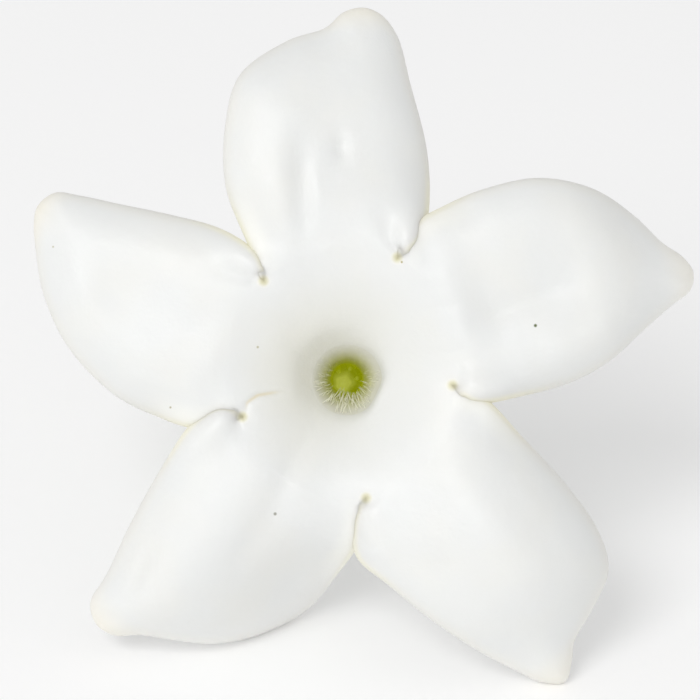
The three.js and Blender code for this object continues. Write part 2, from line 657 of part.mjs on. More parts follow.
// One sepal: a pointed ovate blade that follows the tube's foot, its tip standing off a little.
function sepal(at, { length, out }) {
  const rows = 9;
  const line = sepalLine();
  const whole = lengthsOf(line)[line.length - 1];
  const path = along(line);
  const sides = [-1, -0.5, 0, 0.5, 1];
  const outline = [...sides.map((side) => [side, 0]), ...sides.map((side) => [-side, 1])];
  const rings = [];
  for (let i = 0; i <= rows; i++) {
    const t = i / rows;
    const share = (t * length) / whole;
    const [r, z] = path(share);
    const [ahead, behind] = [path(share + 0.01), path(Math.max(0, share - 0.01))];
    const [dr, dz] = [ahead[0] - behind[0], ahead[1] - behind[1]];
    const normal = [dz / Math.hypot(dr, dz), -dr / Math.hypot(dr, dz)];
    const half = (SEPAL.width / 2) * Math.sin(Math.PI * (0.2 + 0.785 * t)) ** 0.75;
    const ring = outline.map(([side, depth]) => {
      const off = out + SEPAL.spread * t ** 3 + depth * SEPAL.thick;
      const swing = (side * half) / Math.max(r, 1.4) / DEGREE;
      return [...polar(r + off * normal[0], at + swing), z + off * normal[1]];
    });
    rings.push(ring.reverse());
  }
  const middle = (ring) => [0, 1, 2].map((k) => ring.reduce((sum, p) => sum + p[k], 0) / ring.length);
  return ringsSolid(rings, middle(rings[0]), middle(rings[rows]));
}

function lathed(profile, sides) {
  const rings = profile.map(([r, z]) => Array.from({ length: sides }, (_, j) => [...polar(r, (360 * j) / sides), z]));
  return ringsSolid(rings, [0, 0, profile[0][1]], [0, 0, profile[profile.length - 1][1]]);
}

function calyx() {
  const { top, foot, radius, neck, crown, socket } = RECEPTACLE;
  let solid = lathed([[neck, foot], [radius, foot + 0.5], [radius, top - 0.35], [crown, top]], 30);
  SEPALS.forEach((shape, k) => {
    solid = solid.add(sepal(SEPAL.first + k * 72, shape));
  });
  const hole = lathed([[PEDICEL.head + GAP, foot - 1], [PEDICEL.head + GAP, foot + socket]], 30);
  return solid.subtract(hole);
}

function pedicel() {
  const rows = 11;
  const rings = [];
  const start = RECEPTACLE.foot + RECEPTACLE.socket - GAP;
  for (let i = 0; i <= rows; i++) {
    const t = i / rows;
    const head = (PEDICEL.head - PEDICEL.radius) * (1 - eased([0, 0.3], t));
    const foot = (PEDICEL.foot - PEDICEL.radius) * eased([0.8, 1], t);
    const r = PEDICEL.radius + head + foot;
    const bow = PEDICEL.bow * t * t;
    rings.push(
      Array.from({ length: PEDICEL.sides }, (_, j) => {
        const [x, y] = polar(r, (360 * j) / PEDICEL.sides);
        return [x, y + bow, start - PEDICEL.length * t];
      }),
    );
  }
  rings.reverse();
  return ringsSolid(rings, [0, PEDICEL.bow, start - PEDICEL.length], [0, 0, start]);
}

// ---------------------------------------------------------------- the blossom, laid down

const finishes = {
  petal: new THREE.MeshStandardMaterial({ color: 0xf4f3ee, roughness: 0.42, metalness: 0 }),
  column: new THREE.MeshStandardMaterial({ color: 0xd3d78e, roughness: 0.5, metalness: 0 }),
  sepal: new THREE.MeshStandardMaterial({ color: 0x8fa763, roughness: 0.55, metalness: 0 }),
  stalk: new THREE.MeshStandardMaterial({ color: 0x7d9a52, roughness: 0.55, metalness: 0 }),
};

const blossom = new THREE.Group();
const piece = (name, solid, finish) => {
  const mesh = new THREE.Mesh(geometryOf(solid), finishes[finish]);
  mesh.name = name;
  blossom.add(mesh);
};
piece("corolla", corolla(), "petal");
piece("gynostegium", gynostegium(), "column");
piece("calyx", calyx(), "sepal");
piece("pedicel", pedicel(), "stalk");

// The face turns to -Y and leans back by the tilt, after the roll about the flower's own axis.
blossom.rotation.set((90 - LIE.tilt) * DEGREE, 0, LIE.roll * DEGREE, "XYZ");
blossom.position.set(LIE.side, LIE.forward, LIE.lift);

const part = new THREE.Group();
part.add(blossom);
export default part;
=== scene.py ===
"""A picked stephanotis blossom on a pale floor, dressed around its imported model.

The corolla, its throat hairs, the column inside its foot, the calyx and the stalk are each a class that keeps
its sizes in millimetres, in the flower's own frame: z runs along the tube's axis and out of the mouth, and is
0 at the shoulder round the mouth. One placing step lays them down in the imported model's frame, in metres.
"""

import logging
from dataclasses import dataclass, field
from enum import Enum
from math import cos, pi, radians, sin

import bpy
import numpy as np
from mathutils import Matrix, Vector


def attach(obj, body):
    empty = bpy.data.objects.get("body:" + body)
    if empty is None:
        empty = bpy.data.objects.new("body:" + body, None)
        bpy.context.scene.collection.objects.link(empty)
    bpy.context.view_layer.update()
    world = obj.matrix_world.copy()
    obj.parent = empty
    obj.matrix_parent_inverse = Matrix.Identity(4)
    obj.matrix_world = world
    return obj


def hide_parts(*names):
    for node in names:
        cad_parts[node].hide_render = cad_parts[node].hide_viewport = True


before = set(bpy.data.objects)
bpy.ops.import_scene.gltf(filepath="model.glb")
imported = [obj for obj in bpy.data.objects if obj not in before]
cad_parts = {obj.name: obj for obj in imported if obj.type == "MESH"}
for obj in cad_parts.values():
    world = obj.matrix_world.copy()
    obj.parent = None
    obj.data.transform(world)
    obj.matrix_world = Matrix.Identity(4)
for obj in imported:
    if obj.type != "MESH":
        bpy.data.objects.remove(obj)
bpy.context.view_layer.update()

log = logging.getLogger("stephanotis")

MM = 0.001
LOBE_COUNT = 5  # the anther scales, the column's ribs and the sepals come in the same number
FAR = 9.0  # stands for a place that no rim or notch is near, in millimetres
TINY = 1e-6  # keeps a division off zero
SEED_STEP = 17  # how far apart the seeds of two random draws are

Pair = tuple[float, float]
Triple = tuple[float, float, float]
Face = tuple[int, ...]
Colour = tuple[float, float, float, float]
Socket = bpy.types.NodeSocket
Value = Socket | float


# ---------------------------------------------------------------- how the blossom lies


@dataclass(frozen=True)
class Lie:
    """The turn in degrees and the shift in millimetres that lay the flower's frame down in the model's."""

    tilt: float = 28.93
    roll: float = 4.36
    side: float = -0.62
    forward: float = -16.22
    lift: float = 21.21

    def turn(self) -> np.ndarray:
        """Returns the rotation as three rows."""
        a, b = radians(90 - self.tilt), radians(self.roll)
        about_x = np.array([[1, 0, 0], [0, cos(a), -sin(a)], [0, sin(a), cos(a)]])
        about_z = np.array([[cos(b), -sin(b), 0], [sin(b), cos(b), 0], [0, 0, 1]])
        return about_x @ about_z

    def matrix(self) -> Matrix:
        """Returns the step from the flower's frame, in millimetres, to the model's frame, in metres."""
        rows = np.eye(4)
        rows[:3, :3] = self.turn() * MM
        rows[:3, 3] = np.array([self.side, self.forward, self.lift]) * MM
        return Matrix(rows.tolist())


LIE = Lie()


# ---------------------------------------------------------------- small mathematics


def smooth(low: float, high: float, x: np.ndarray) -> np.ndarray:
    """Returns 0 below low, 1 above high, and an easy rise between them."""
    t = np.clip((x - low) / (high - low), 0, 1)
    return t * t * (3 - 2 * t)


def bend(x: np.ndarray, soft: float) -> np.ndarray:
    """Returns 0 for x well below 0, x well above it, and an easy bend between them."""
    return soft * np.logaddexp(0, x / soft)


def bell(x: np.ndarray, width: float | np.ndarray) -> np.ndarray:
    """Returns a bell curve of height 1 that falls to a third at the width."""
    return np.exp(-((x / width) ** 2))


def mix(a: float | np.ndarray, b: float | np.ndarray, t: float | np.ndarray) -> np.ndarray:
    """Returns a where t is 0 and b where t is 1."""
    return a + (b - a) * t


def polar(r: float | np.ndarray, degrees: float | np.ndarray) -> np.ndarray:
    """Returns the x and y of points at a distance and direction from the axis."""
    at = np.radians(degrees)
    return np.stack([r * np.cos(at), r * np.sin(at)], -1)


def directions(count: int) -> np.ndarray:
    """Returns evenly spaced directions all round, in degrees."""
    return np.linspace(0, 360, count, endpoint=False)


def turned(points: np.ndarray, degrees: float) -> np.ndarray:
    """Returns x, y points turned anticlockwise about the origin."""
    c, s = cos(radians(degrees)), sin(radians(degrees))
    return np.asarray(points, float) @ np.array([[c, s], [-s, c]])


def line_through(points: np.ndarray, steps: int) -> np.ndarray:
    """Draws a smooth line through points, as a centripetal Catmull-Rom curve.

    Args:
        points: The rows of x and y that it passes.
        steps: How many short straight steps it is drawn with.

    Returns:
        Rows of x and y, one more than the steps.
    """
    p = np.asarray(points, float)
    p = np.vstack([2 * p[0] - p[1], p, 2 * p[-1] - p[-2]])
    knots = len(p) - 3
    at = np.linspace(0, knots, steps + 1)
    i = np.minimum(at.astype(int), knots - 1)
    w = (at - i)[:, None]
    p0, p1, p2, p3 = p[i], p[i + 1], p[i + 2], p[i + 3]
    d0, d1, d2 = (np.sqrt(np.linalg.norm(b - a, axis=1))[:, None] for a, b in ((p0, p1), (p1, p2), (p2, p3)))
    t1 = ((p1 - p0) / d0 - (p2 - p0) / (d0 + d1) + (p2 - p1) / d1) * d1
    t2 = ((p2 - p1) / d1 - (p3 - p1) / (d1 + d2) + (p3 - p2) / d2) * d1
    c2 = -3 * p1 + 3 * p2 - 2 * t1 - t2
    c3 = 2 * p1 - 2 * p2 + t1 + t2
    return p1 + t1 * w + c2 * w**2 + c3 * w**3


def along(line: np.ndarray, shares: np.ndarray) -> np.ndarray:
    """Finds points along a line.

    Args:
        line: Rows of x and y.
        shares: How far along it each point is, from 0 to 1.

    Returns:
        Rows of x and y, one for each share.
    """
    reached = np.concatenate([[0], np.cumsum(np.linalg.norm(np.diff(line, axis=0), axis=1))])
    want = np.asarray(shares) * reached[-1]
    return np.stack([np.interp(want, reached, line[:, k]) for k in (0, 1)], -1)


def nearest_on_line(points: np.ndarray, line: np.ndarray) -> tuple[np.ndarray, np.ndarray]:
    """Finds how far points are from a line, and where along it the place nearest to each is.

    Args:
        points: Rows of x and y.
        line: The line's own rows of x and y.

    Returns:
        The distances, and the shares of the line's length.
    """
    start, step = line[:-1], np.diff(line, axis=0)
    gap = points[:, None, :] - start[None]
    t = np.clip((gap * step).sum(-1) / (step**2).sum(-1), 0, 1)
    far = np.linalg.norm(gap - t[..., None] * step, axis=-1)
    near = far.argmin(1)
    rows = np.arange(len(points))
    lengths = np.linalg.norm(step, axis=1)
    reached = np.concatenate([[0], np.cumsum(lengths)])
    return far[rows, near], (reached[near] + t[rows, near] * lengths[near]) / reached[-1]


# ---------------------------------------------------------------- the corolla's form


@dataclass(frozen=True)
class Fold:
    """A long soft ridge on the face, or a groove where its height is below 0.

    Its height falls to a share, end, where the path ends.
    """

    path: tuple[Pair, ...]
    width: float
    height: float
    end: float = 0.35

    def lift(self, points: np.ndarray) -> np.ndarray:
        """Works out the fold's relief.

        Args:
            points: Rows of x and y in the frame of its path.

        Returns:
            The height that it adds at each.
        """
        gap, share = nearest_on_line(points, np.array(self.path, float))
        fading = (1 - (2 * share - 1) ** 4) ** 2
        return self.height * bell(gap, self.width) * mix(self.end, 1, fading)


@dataclass(frozen=True)
class Crease:
    """The crease inside a folded corner: it starts at the notch, turned from the lobe's aim in degrees."""

    turn: float
    length: float
    depth: float
    width: float
    start: Pair = (-0.3, 0.5)
    widens: float = 0.16

    def drop(self, from_notch: np.ndarray) -> np.ndarray:
        """Works out the crease's depth.

        Args:
            from_notch: Rows of x and y from the notch, in the lobe's frame.

        Returns:
            How far it takes the surface down at each.
        """
        run, off = turned(from_notch, -self.turn).T
        fading = np.clip(1 - run / self.length, 0, 1) * smooth(*self.start, run)
        return self.depth * fading * bell(off, self.width + self.widens * np.maximum(0, run))


@dataclass(frozen=True)
class Lobe:
    """One lobe in its own frame: x out from the axis towards its aim, y to the left of that.

    The rim called over overlaps the lobe before it, and runs from the lobe's own notch to the tip. The rim
    called under is overlapped by the next lobe, and runs from the tip back to the next notch.
    """

    aim: float
    tip: Pair
    droop: float
    hollow: float
    lean: float
    rise: float
    shed: float
    over: tuple[Pair, ...]
    under: tuple[Pair, ...]
    crease: Crease
    folds: tuple[Fold, ...]


@dataclass(frozen=True)
class Roll:
    """How a rim rolls down: by how much, and from how far inside the edge."""

    height: float
    reach: float

    @staticmethod
    def drop(distance: np.ndarray, height: np.ndarray, reach: np.ndarray) -> np.ndarray:
        """Returns how far the surface has dropped at a distance inside the rim: a quarter of an ellipse."""
        inside = np.clip(1 - distance / reach, 0, 1)
        return height * (1 - np.sqrt(1 - inside**2))


LOBES = (
    Lobe(  # the right lobe
        16.6, (25.76, 0.28), 2.8, 0.5, 0.045, 0.6, -1.0,
        ((7.4, -3.4), (8.4, -4.2), (11, -4.57), (15.02, -4.67),
         (18.07, -4.02), (21.02, -2.66), (23.53, -1.56), (25.19, -0.89)),
        ((25.35, 1.51), (24.2, 2.89), (22.73, 5.36), (20.54, 7.85),
         (17, 9.71), (13, 10.08), (10.32, 9.8), (7.4, 9)),
        Crease(50, 1.6, 0.35, 0.4),
        (Fold(((6.9, 3.2), (9.2, 2.8)), 0.3, -0.07),
         Fold(((6.2, 0.1), (8.8, -0.2)), 0.3, -0.06),
         Fold(((10.0, 1.4), (13.5, 1.6), (16.6, 1.9)), 1.0, -0.35),
         Fold(((8.4, -1.2), (8.4, 2.5), (8.6, 6.4)), 1.7, 0.42),
         Fold(((12.8, -2.4), (16.5, -2.1), (20.0, -1.3)), 1.5, 0.32))),
    Lobe(  # the top lobe
        87.2, (26.25, 0.1), 1.3, 0.1, 0.15, 0.5, -0.6,
        ((9.3, -4), (10.5, -4.9), (13, -5.18), (16.54, -4.8),
         (21.01, -3.45), (24.3, -2.41), (25.77, -1.23)),
        ((25.83, 1.53), (24.68, 2.7), (23.61, 5.32), (20.96, 8.54),
         (17.49, 9.35), (13.02, 9.11), (9, 7.3)),
        Crease(17, 3.9, 0.6, 0.4),
        (Fold(((9.6, 3.5), (13, 3.8), (16.6, 4.1)), 0.9, -0.42),
         Fold(((10.8, 2.6), (15.5, 3.0)), 0.35, 0.1),
         Fold(((15.2, 1.2), (17.0, 1.35)), 0.55, -0.3),
         Fold(((12.0, 5.2), (20.0, 4.6)), 1.6, 0.25),
         Fold(((11.0, -2.5), (11.0, 3.0)), 4.0, 0.6, 1.0))),
    Lobe(  # the left lobe
        150.2, (24.91, 0.18), 0.7, 0.4, 0, 0.35, 0.4,
        ((9, -4), (10.3, -4.7), (13, -4.79), (16.53, -3.89),
         (20, -2.77), (22.83, -1.87), (24.32, -1.22)),
        ((24.56, 1.34), (23.15, 3.42), (21.59, 5.3), (18.05, 7.8),
         (13.5, 9.06), (10.5, 8.89), (7.6, 8.2)),
        Crease(13, 4.8, 0.62, 0.42),
        (Fold(((10.0, 6.4), (14, 6.5), (18, 5.2), (21.5, 2.8)), 1.5, 0.3),
         Fold(((2.4, -4.16), (4.8, 0), (2.4, 4.16)), 1.7, 0.4),
         Fold(((10.5, -3.0), (10.5, 3.0)), 4.3, 0.8, 1.0))),
    Lobe(  # the lower left lobe
        224.1, (24.73, 0.08), 1.9, 0, -0.085, 0.5, 2.8,
        ((7.1, -4.3), (7.9, -5.1), (10, -5.4), (13.49, -4.67),
         (18, -3.31), (21.63, -1.96), (23.92, -1.33)),
        ((24.35, 1.56), (23.07, 2.73), (21.49, 4.9), (19.88, 6.91),
         (17.16, 8.84), (13.55, 9.98), (10.53, 9.61), (7, 8.6)),
        Crease(10, 1.8, 0.4, 0.5),
        (Fold(((3.6, 0.9), (7.0, 1.5), (10.0, 2.9), (14.4, 3.8)), 0.9, -0.26),
         Fold(((6.83, -3.21), (6.05, -3.72), (5.2, -3.58), (3.65, -2.47)), 0.22, -0.22),
         Fold(((18.0, -0.9), (21.2, 0.3)), 0.5, -0.26),
         Fold(((9.0, 0.2), (15.0, 1.2), (20.0, 1.4)), 2.4, 0.5, 1.0),
         Fold(((8.0, 7.6), (10.5, 8.6), (13.5, 8.9)), 3.0, -1.0, 1.0))),
    Lobe(  # the lower right lobe
        305.4, (26.47, 0.2), 2.6, 0, 0.05, 0.4, 0.9,
        ((7.7, -4.6), (8.6, -5.6), (10.48, -6.66), (13.53, -5.93),
         (17.02, -4.97), (21.07, -3.46), (23.72, -2.18), (25.56, -1.14)),
        ((25.46, 1.49), (24.44, 2.38), (23.36, 4.67), (21.68, 7.3),
         (19.03, 8.26), (15, 8.31), (10.54, 7.75), (6.6, 7.1)),
        Crease(4, 0.9, 0.2, 0.35),
        (Fold(((6.3, 2.6), (11, 2.9), (17.0, 2.6)), 3.0, 0.4, 1.0),
         Fold(((15.5, -1.0), (15.5, 1.0)), 5.5, 0.9, 1.0),
         Fold(((13.2, -2.2), (15.0, -1.9)), 0.9, -0.16))),
)

# What is kept at each point: its distance from the axis, from the rim and from the nearest notch, how far out
# along its lobe and how far below the shoulder it is, how much it has of the painted shade round the mouth,
# of the tube's olive, which is partly painted shade, and of the painted shade along one step, how fully it is
# tucked under the next lobe, and how much the back is evened behind it.
MARKS = ("mouth", "edge", "notch", "out", "depth", "halo", "green", "stain", "tucked", "even")


@dataclass
class Sheet:
    """A surface that is given a thickness: its points, the wall and the marks at each, and its faces."""

    points: list[np.ndarray] = field(default_factory=list)
    walls: list[np.ndarray] = field(default_factory=list)
    marks: dict[str, list[np.ndarray]] = field(default_factory=dict)
    quads: list[np.ndarray] = field(default_factory=list)
    count: int = 0

    def add(self, points: np.ndarray, walls: np.ndarray, marks: dict[str, np.ndarray]) -> np.ndarray:
        """Adds points.

        Args:
            points: Rows of x, y, z.
            walls: The wall's thickness at each.
            marks: Named numbers at each, which the finish reads. One that isn't given is 0.

        Returns:
            The new points' numbers.
        """
        first, self.count = self.count, self.count + len(points)
        self.points.append(points)
        self.walls.append(np.broadcast_to(walls, len(points)))
        for name in MARKS:
            self.marks.setdefault(name, []).append(np.broadcast_to(marks.get(name, 0.0), len(points)))
        return np.arange(first, self.count)

    def grid(self, rows: np.ndarray) -> None:
        """Adds the faces between neighbouring rows of point numbers.

        Args:
            rows: The rows, each a line of the grid.
        """
        a, b = rows[:-1, :-1], rows[1:, :-1]
        c, d = rows[1:, 1:], rows[:-1, 1:]
        self.quads.append(np.stack([a, b, c, d], -1).reshape(-1, 4))

    def evened(self, back: np.ndarray, tris: np.ndarray, passes: int) -> np.ndarray:
        """Eases out the tight hollows of the back, at each point by its own share.

        Args:
            back: The back's points.
            tris: The triangles between them.
            passes: How often each point is drawn towards the middle of its neighbours.

        Returns:
            The eased points.
        """
        pull = np.concatenate(self.marks["even"])[:, None] / 2
        links = np.vstack([tris[:, [0, 1]], tris[:, [1, 2]], tris[:, [2, 0]]])
        a, b = np.unique(np.sort(links, axis=1), axis=0).T
        count = np.bincount(np.concatenate([a, b]), minlength=len(back))[:, None]
        for _ in range(passes):
            sums = [np.bincount(a, back[b, k], len(back)) + np.bincount(b, back[a, k], len(back))
                    for k in range(3)]
            back = back + pull * (np.stack(sums, 1) / count - back)
        return back

    def solid(self, rim_steps: int, passes: int) -> tuple[np.ndarray, list[Face], dict[str, np.ndarray]]:
        """Gives the surface its back and round rims.

        Args:
            rim_steps: How many faces go round a rim.
            passes: How often the back is evened.

        Returns:
            The points, the faces and the marks of the closed solid. The mark side is 1 in front, 0 behind.
        """
        p, walls = np.vstack(self.points), np.concatenate(self.walls)
        quads = np.vstack(self.quads)
        tris = np.vstack([quads[:, [0, 1, 2]], quads[:, [0, 2, 3]]])
        tris = tris[(tris[:, 0] != tris[:, 1]) & (tris[:, 1] != tris[:, 2]) & (tris[:, 0] != tris[:, 2])]
        flat = np.cross(p[tris[:, 1]] - p[tris[:, 0]], p[tris[:, 2]] - p[tris[:, 0]])
        normals = np.zeros_like(p)
        for k in range(3):
            np.add.at(normals, tris[:, k], flat)
        normals /= np.linalg.norm(normals, axis=1)[:, None]
        back = self.evened(p - normals * walls[:, None], tris, passes)
        edges = self.free_edges(tris)
        side = np.cross(p[edges[:, 1]] - p[edges[:, 0]], normals[edges[:, 0]])
        side /= np.linalg.norm(side, axis=1)[:, None]
        out = np.zeros_like(p)
        for k in (0, 1):
            np.add.at(out, edges[:, k], side)
        rim = np.unique(edges)
        out[rim] /= np.linalg.norm(out[rim], axis=1)[:, None]
        n = len(p)
        rings = [p, back]
        number = np.full((rim_steps + 1, n), -1)
        number[0], number[rim_steps] = np.arange(n), np.arange(n, 2 * n)
        middle, to_face = (p[rim] + back[rim]) / 2, (p[rim] - back[rim]) / 2
        for k in range(1, rim_steps):
            angle = pi * k / rim_steps
            rings.append(middle + to_face * cos(angle) + out[rim] * (walls[rim] / 2 * sin(angle))[:, None])
            number[k, rim] = 2 * n + (k - 1) * len(rim) + np.arange(len(rim))
        faces = [self.plain(q) for q in quads] + [self.plain(q[::-1] + n) for q in quads]
        for k in range(rim_steps):
            u, v = edges[:, 0], edges[:, 1]
            strip = np.stack([number[k, v], number[k, u], number[k + 1, u], number[k + 1, v]], 1)
            faces += [tuple(map(int, q)) for q in strip]
        marks = {name: np.concatenate(values) for name, values in self.marks.items()}
        marks = {name: np.concatenate([m, m] + [m[rim]] * (rim_steps - 1)) for name, m in marks.items()}
        around = [np.full(len(rim), 1 - k / rim_steps) for k in range(1, rim_steps)]
        marks["side"] = np.concatenate([np.ones(n), np.zeros(n), *around])
        return np.vstack(rings), faces, marks

    @staticmethod
    def free_edges(tris: np.ndarray) -> np.ndarray:
        """Finds the edges that only one triangle has, each in that triangle's direction.

        Args:
            tris: The triangles' corners.

        Returns:
            Pairs of point numbers.
        """
        edges = np.vstack([tris[:, [0, 1]], tris[:, [1, 2]], tris[:, [2, 0]]])
        _, first, counts = np.unique(np.sort(edges, 1), axis=0, return_index=True, return_counts=True)
        return edges[first[counts == 1]]

    @staticmethod
    def plain(quad: np.ndarray) -> Face:
        """Returns a face's corners with a doubled one left out."""
        return tuple(dict.fromkeys(map(int, quad)))


@dataclass
class Corolla:
    """The white flower: a tube with a swollen foot, a shallow funnel round its mouth, and five lobes.

    Most pairs are the two ends of a stretch in which something eases in.
    """

    # the mouth, the funnel round it, and the tube's inside
    throat_r: float = 2.45
    mouth_flat: Pair = (2.27, -26.0)
    mouth_corner: float = 24.0
    flat_reach: float = 0.3
    pressed: Pair = (-2.5, 0)
    shoulder_r: float = 7.4
    shoulder_soft: float = 1.3
    funnel_slope: float = 0.5
    lip_depth: float = 0.9
    lip_length: Pair = (0.14, 1.3)
    lip_ends: Pair = (2.5, 4.5)
    bore: tuple[Pair, ...] = (
        (2.12, -4.0), (1.75, -4.8), (1.42, -5.8), (1.18, -7.2), (1.1, -10.5), (1.28, -14.0), (1.56, -17.2),
        (2.2, -20.3), (2.95, -22.8), (3.15, -25.0), (2.7, -27.1), (1.4, -28.1),
    )

    # the walls
    tube_wall: float = 1.15
    lobe_wall: float = 1.2
    rim_wall: float = 0.8
    tip_wall: float = 0.62
    corner_wall: float = 0.36
    rim_thins: Pair = (0.55, 1)
    tip_thins: Pair = (0.86, 1)
    corner_grows: Pair = (0.2, 2.6)

    # the lobes, and how their rims roll down
    notches: tuple[Pair, ...] = ((7.35, -2.7), (9.2, 67.7), (9.0, 130.0), (7.7, 199.3), (8.3, 279.2))
    lobes: tuple[Lobe, ...] = LOBES
    roll: Roll = Roll(1.9, 3.1)
    tip_roll: Roll = Roll(0.72, 0.66)
    tip_starts: Pair = (0.7, 1)
    over_roll: Roll = Roll(0.5, 1.1)
    over_grows: Pair = (0.4, 4.5)
    under_roll: Roll = Roll(0.5, 1.0)
    under_grows: Pair = (2.2, 6.5)
    between_rims: Pair = (-0.5, 0.5)
    easing: Roll = Roll(0.75, 6.5)
    easing_grows: Pair = (1, 7)
    pit_share: float = 0.32
    pit_grows: Pair = (0, 1.4)

    # the lobes' relief
    fold_start: float = 1.5
    free: Pair = (0, 1.3)
    broad: Pair = (0, 4.5)
    droops: tuple[Triple, ...] = ((0.8, 11.5, 30), (1.2, 18, 28))
    hollow_in: Pair = (8.5, 11.5)
    hollow_out: Pair = (15.5, 20.5)
    hollow_aside: float = 2.3
    hollow_width: float = 2.6
    corner_path: tuple[Pair, Pair] = ((1.3, -0.7), (3.2, -1.4))
    corner_width: float = 1.15
    lean_grows: Pair = (7, 14)
    shed_from: float = 1.0
    shed_scale: float = 30.0
    shed_grows: Pair = (5, 13)

    # how a lobe tucks itself under the corner of the next one
    clearance: float = 0.8
    tuck_grows: Pair = (0, 2.2)
    tuck_in: Pair = (0.2, 2.2)
    tuck_out: Pair = (4.0, 7.5)
    tuck_edge: Pair = (0.8, 3.6)
    tuck_side: Pair = (0, 0.4)

    # where the tints and the painted shade lie
    # painted shade round the mouth: how far out it reaches, and its least share on the mouth's flat side; it
    # is strongest on the upper-left side
    halo: Pair = (8.6, 2.3)
    painted_mouth_shade_least: float = 0.15
    green: Pair = (5.6, 8.8)
    # the tube's olive starts this much higher on the upper side, as painted shade
    painted_upper_shade_rise: float = 0.5
    # the groove, given by lobe and fold, that carries painted shade along the step in from a notch, with a
    # yellow-brown tone
    stain: tuple[int, int] = (3, 1)

    # how fine the mesh is, and how its back is evened
    columns: int = 56
    lobe_rows: int = 72
    funnel_rings: int = 34
    ring_spacing: float = 1.35
    tube_rings: int = 44
    rim_steps: int = 8
    bore_steps: int = 200
    outline_steps: int = 240
    crowding: float = 0.75
    even_passes: int = 120
    even_from: Pair = (0.7, 2.2)
    even_to: Pair = (4.0, 7.5)
    even_throat: Pair = (-5, -2)

    def notch_points(self) -> np.ndarray:
        """Returns the x and y of the notches between the lobes."""
        return np.array([polar(r, at) for r, at in self.notches])

    def funnel_height(self, r: np.ndarray) -> np.ndarray:
        """Returns the face's height at a distance from the axis, without rims or relief."""
        return -self.funnel_slope * bend(self.shoulder_r - r, self.shoulder_soft)

    def softness(self, at: np.ndarray) -> np.ndarray:
        """Returns how soft the mouth's edge is in each direction: 0 on the flat side, 1 across from it."""
        return (1 - np.cos(np.radians(at - self.mouth_flat[1]))) / 2

    def lip(self, beyond: np.ndarray, at: np.ndarray) -> np.ndarray:
        """Returns how far the funnel falls over the mouth's edge, at a distance beyond it in a direction."""
        length = mix(*self.lip_length, self.softness(at))
        return self.lip_depth * np.exp(-beyond / length) * (1 - smooth(*self.lip_ends, beyond))

    def bore_line(self) -> np.ndarray:
        """Returns the line of the tube's inside, from the mouth down to its foot."""
        top = float(self.funnel_height(self.throat_r)) - self.lip_depth
        return line_through([(self.throat_r, top), *self.bore], self.bore_steps)

    def mouth_radius(self, at: np.ndarray) -> np.ndarray:
        """Works out the mouth's radius: round, with one side pressed flat.

        Args:
            at: The directions, in degrees.

        Returns:
            The radius in each.
        """
        flat, aim = self.mouth_flat
        turn = np.radians((at - aim + 180) % 360 - 180)
        straight = flat / np.maximum(np.cos(turn), self.flat_reach)
        return (straight**-self.mouth_corner + self.throat_r**-self.mouth_corner) ** (-1 / self.mouth_corner)

    def notch_distance(self, points: np.ndarray) -> np.ndarray:
        """Returns each x, y point's distance to the nearest notch."""
        return np.linalg.norm(points[:, None] - self.notch_points()[None], axis=-1).min(1)

    def rolled(self, edge: np.ndarray, away: np.ndarray, across: float | np.ndarray = 0.0,
               out: float = 0.0) -> np.ndarray:
        """Works out how far the rim's roll takes the surface down.

        Args:
            edge: Each point's distance from the rim.
            away: Each point's distance from the nearest notch.
            across: Where it stands between a lobe's rims, from -1, over, to 1, under.
            out: How far along the lobe it is, from 0 to 1 at the tip.

        Returns:
            The drop at each point.
        """
        under = smooth(*self.between_rims, across)
        tipped = smooth(*self.tip_starts, out)
        lobe_height = self.roll.height * mix(1, self.tip_roll.height, tipped)
        lobe_reach = self.roll.reach * mix(1, self.tip_roll.reach, tipped)
        grown = mix(smooth(*self.over_grows, away), smooth(*self.under_grows, away), under)
        share = mix(self.pit_share, 1, smooth(*self.pit_grows, away))
        corner_height = mix(self.over_roll.height, self.under_roll.height, under)
        corner_reach = mix(self.over_roll.reach, self.under_roll.reach, under)
        steep = Roll.drop(edge, mix(corner_height, lobe_height, grown), mix(corner_reach, lobe_reach, grown))
        inside = np.clip(1 - edge / self.easing.reach, 0, 1)
        return share * steep + self.easing.height * inside**2 * smooth(*self.easing_grows, away)

    def across_at(self, column: np.ndarray) -> np.ndarray:
        """Returns where a column stands between a lobe's rims, from -1 to 1, crowded towards them."""
        even = 2 * column / self.columns - 1
        return mix(even, np.sin(pi / 2 * even), self.crowding)

    def notch_ring(self, index: int, across: np.ndarray) -> tuple[np.ndarray, np.ndarray]:
        """Follows the arc from a lobe's notch to the next one.

        Args:
            index: The lobe's number.
            across: Where each point stands between the notches, from -1 to 1.

        Returns:
            The distances from the axis, and the directions in degrees.
        """
        (r0, a0), (r1, a1) = self.notches[index], self.notches[(index + 1) % len(self.notches)]
        share = (across + 1) / 2
        return mix(r0, r1, share), a0 + ((a1 - a0) % 360) * share

    def wall_at(self, points: np.ndarray, body: float | np.ndarray) -> np.ndarray:
        """Returns the wall's thickness, which thins towards the notches."""
        return mix(self.corner_wall, body, smooth(*self.corner_grows, self.notch_distance(points)))

    def tube_ring(self, sheet: Sheet, r: float, z: float, below: float) -> np.ndarray:
        """Adds one ring of the tube's inside.

        Args:
            sheet: The sheet.
            r: The ring's radius.
            z: Its height.
            below: Its height over the mouth's edge, which is below 0.

        Returns:
            The ring's point numbers.
        """
        even = 2 * np.arange(self.columns) / self.columns - 1
        at = np.concatenate([self.notch_ring(i, even)[1] for i in range(len(self.lobes))])
        pressed = mix(1, self.mouth_radius(at) / self.throat_r, smooth(*self.pressed, np.array(below)))
        points = np.column_stack([polar(r * pressed, at), np.full(len(at), z)])
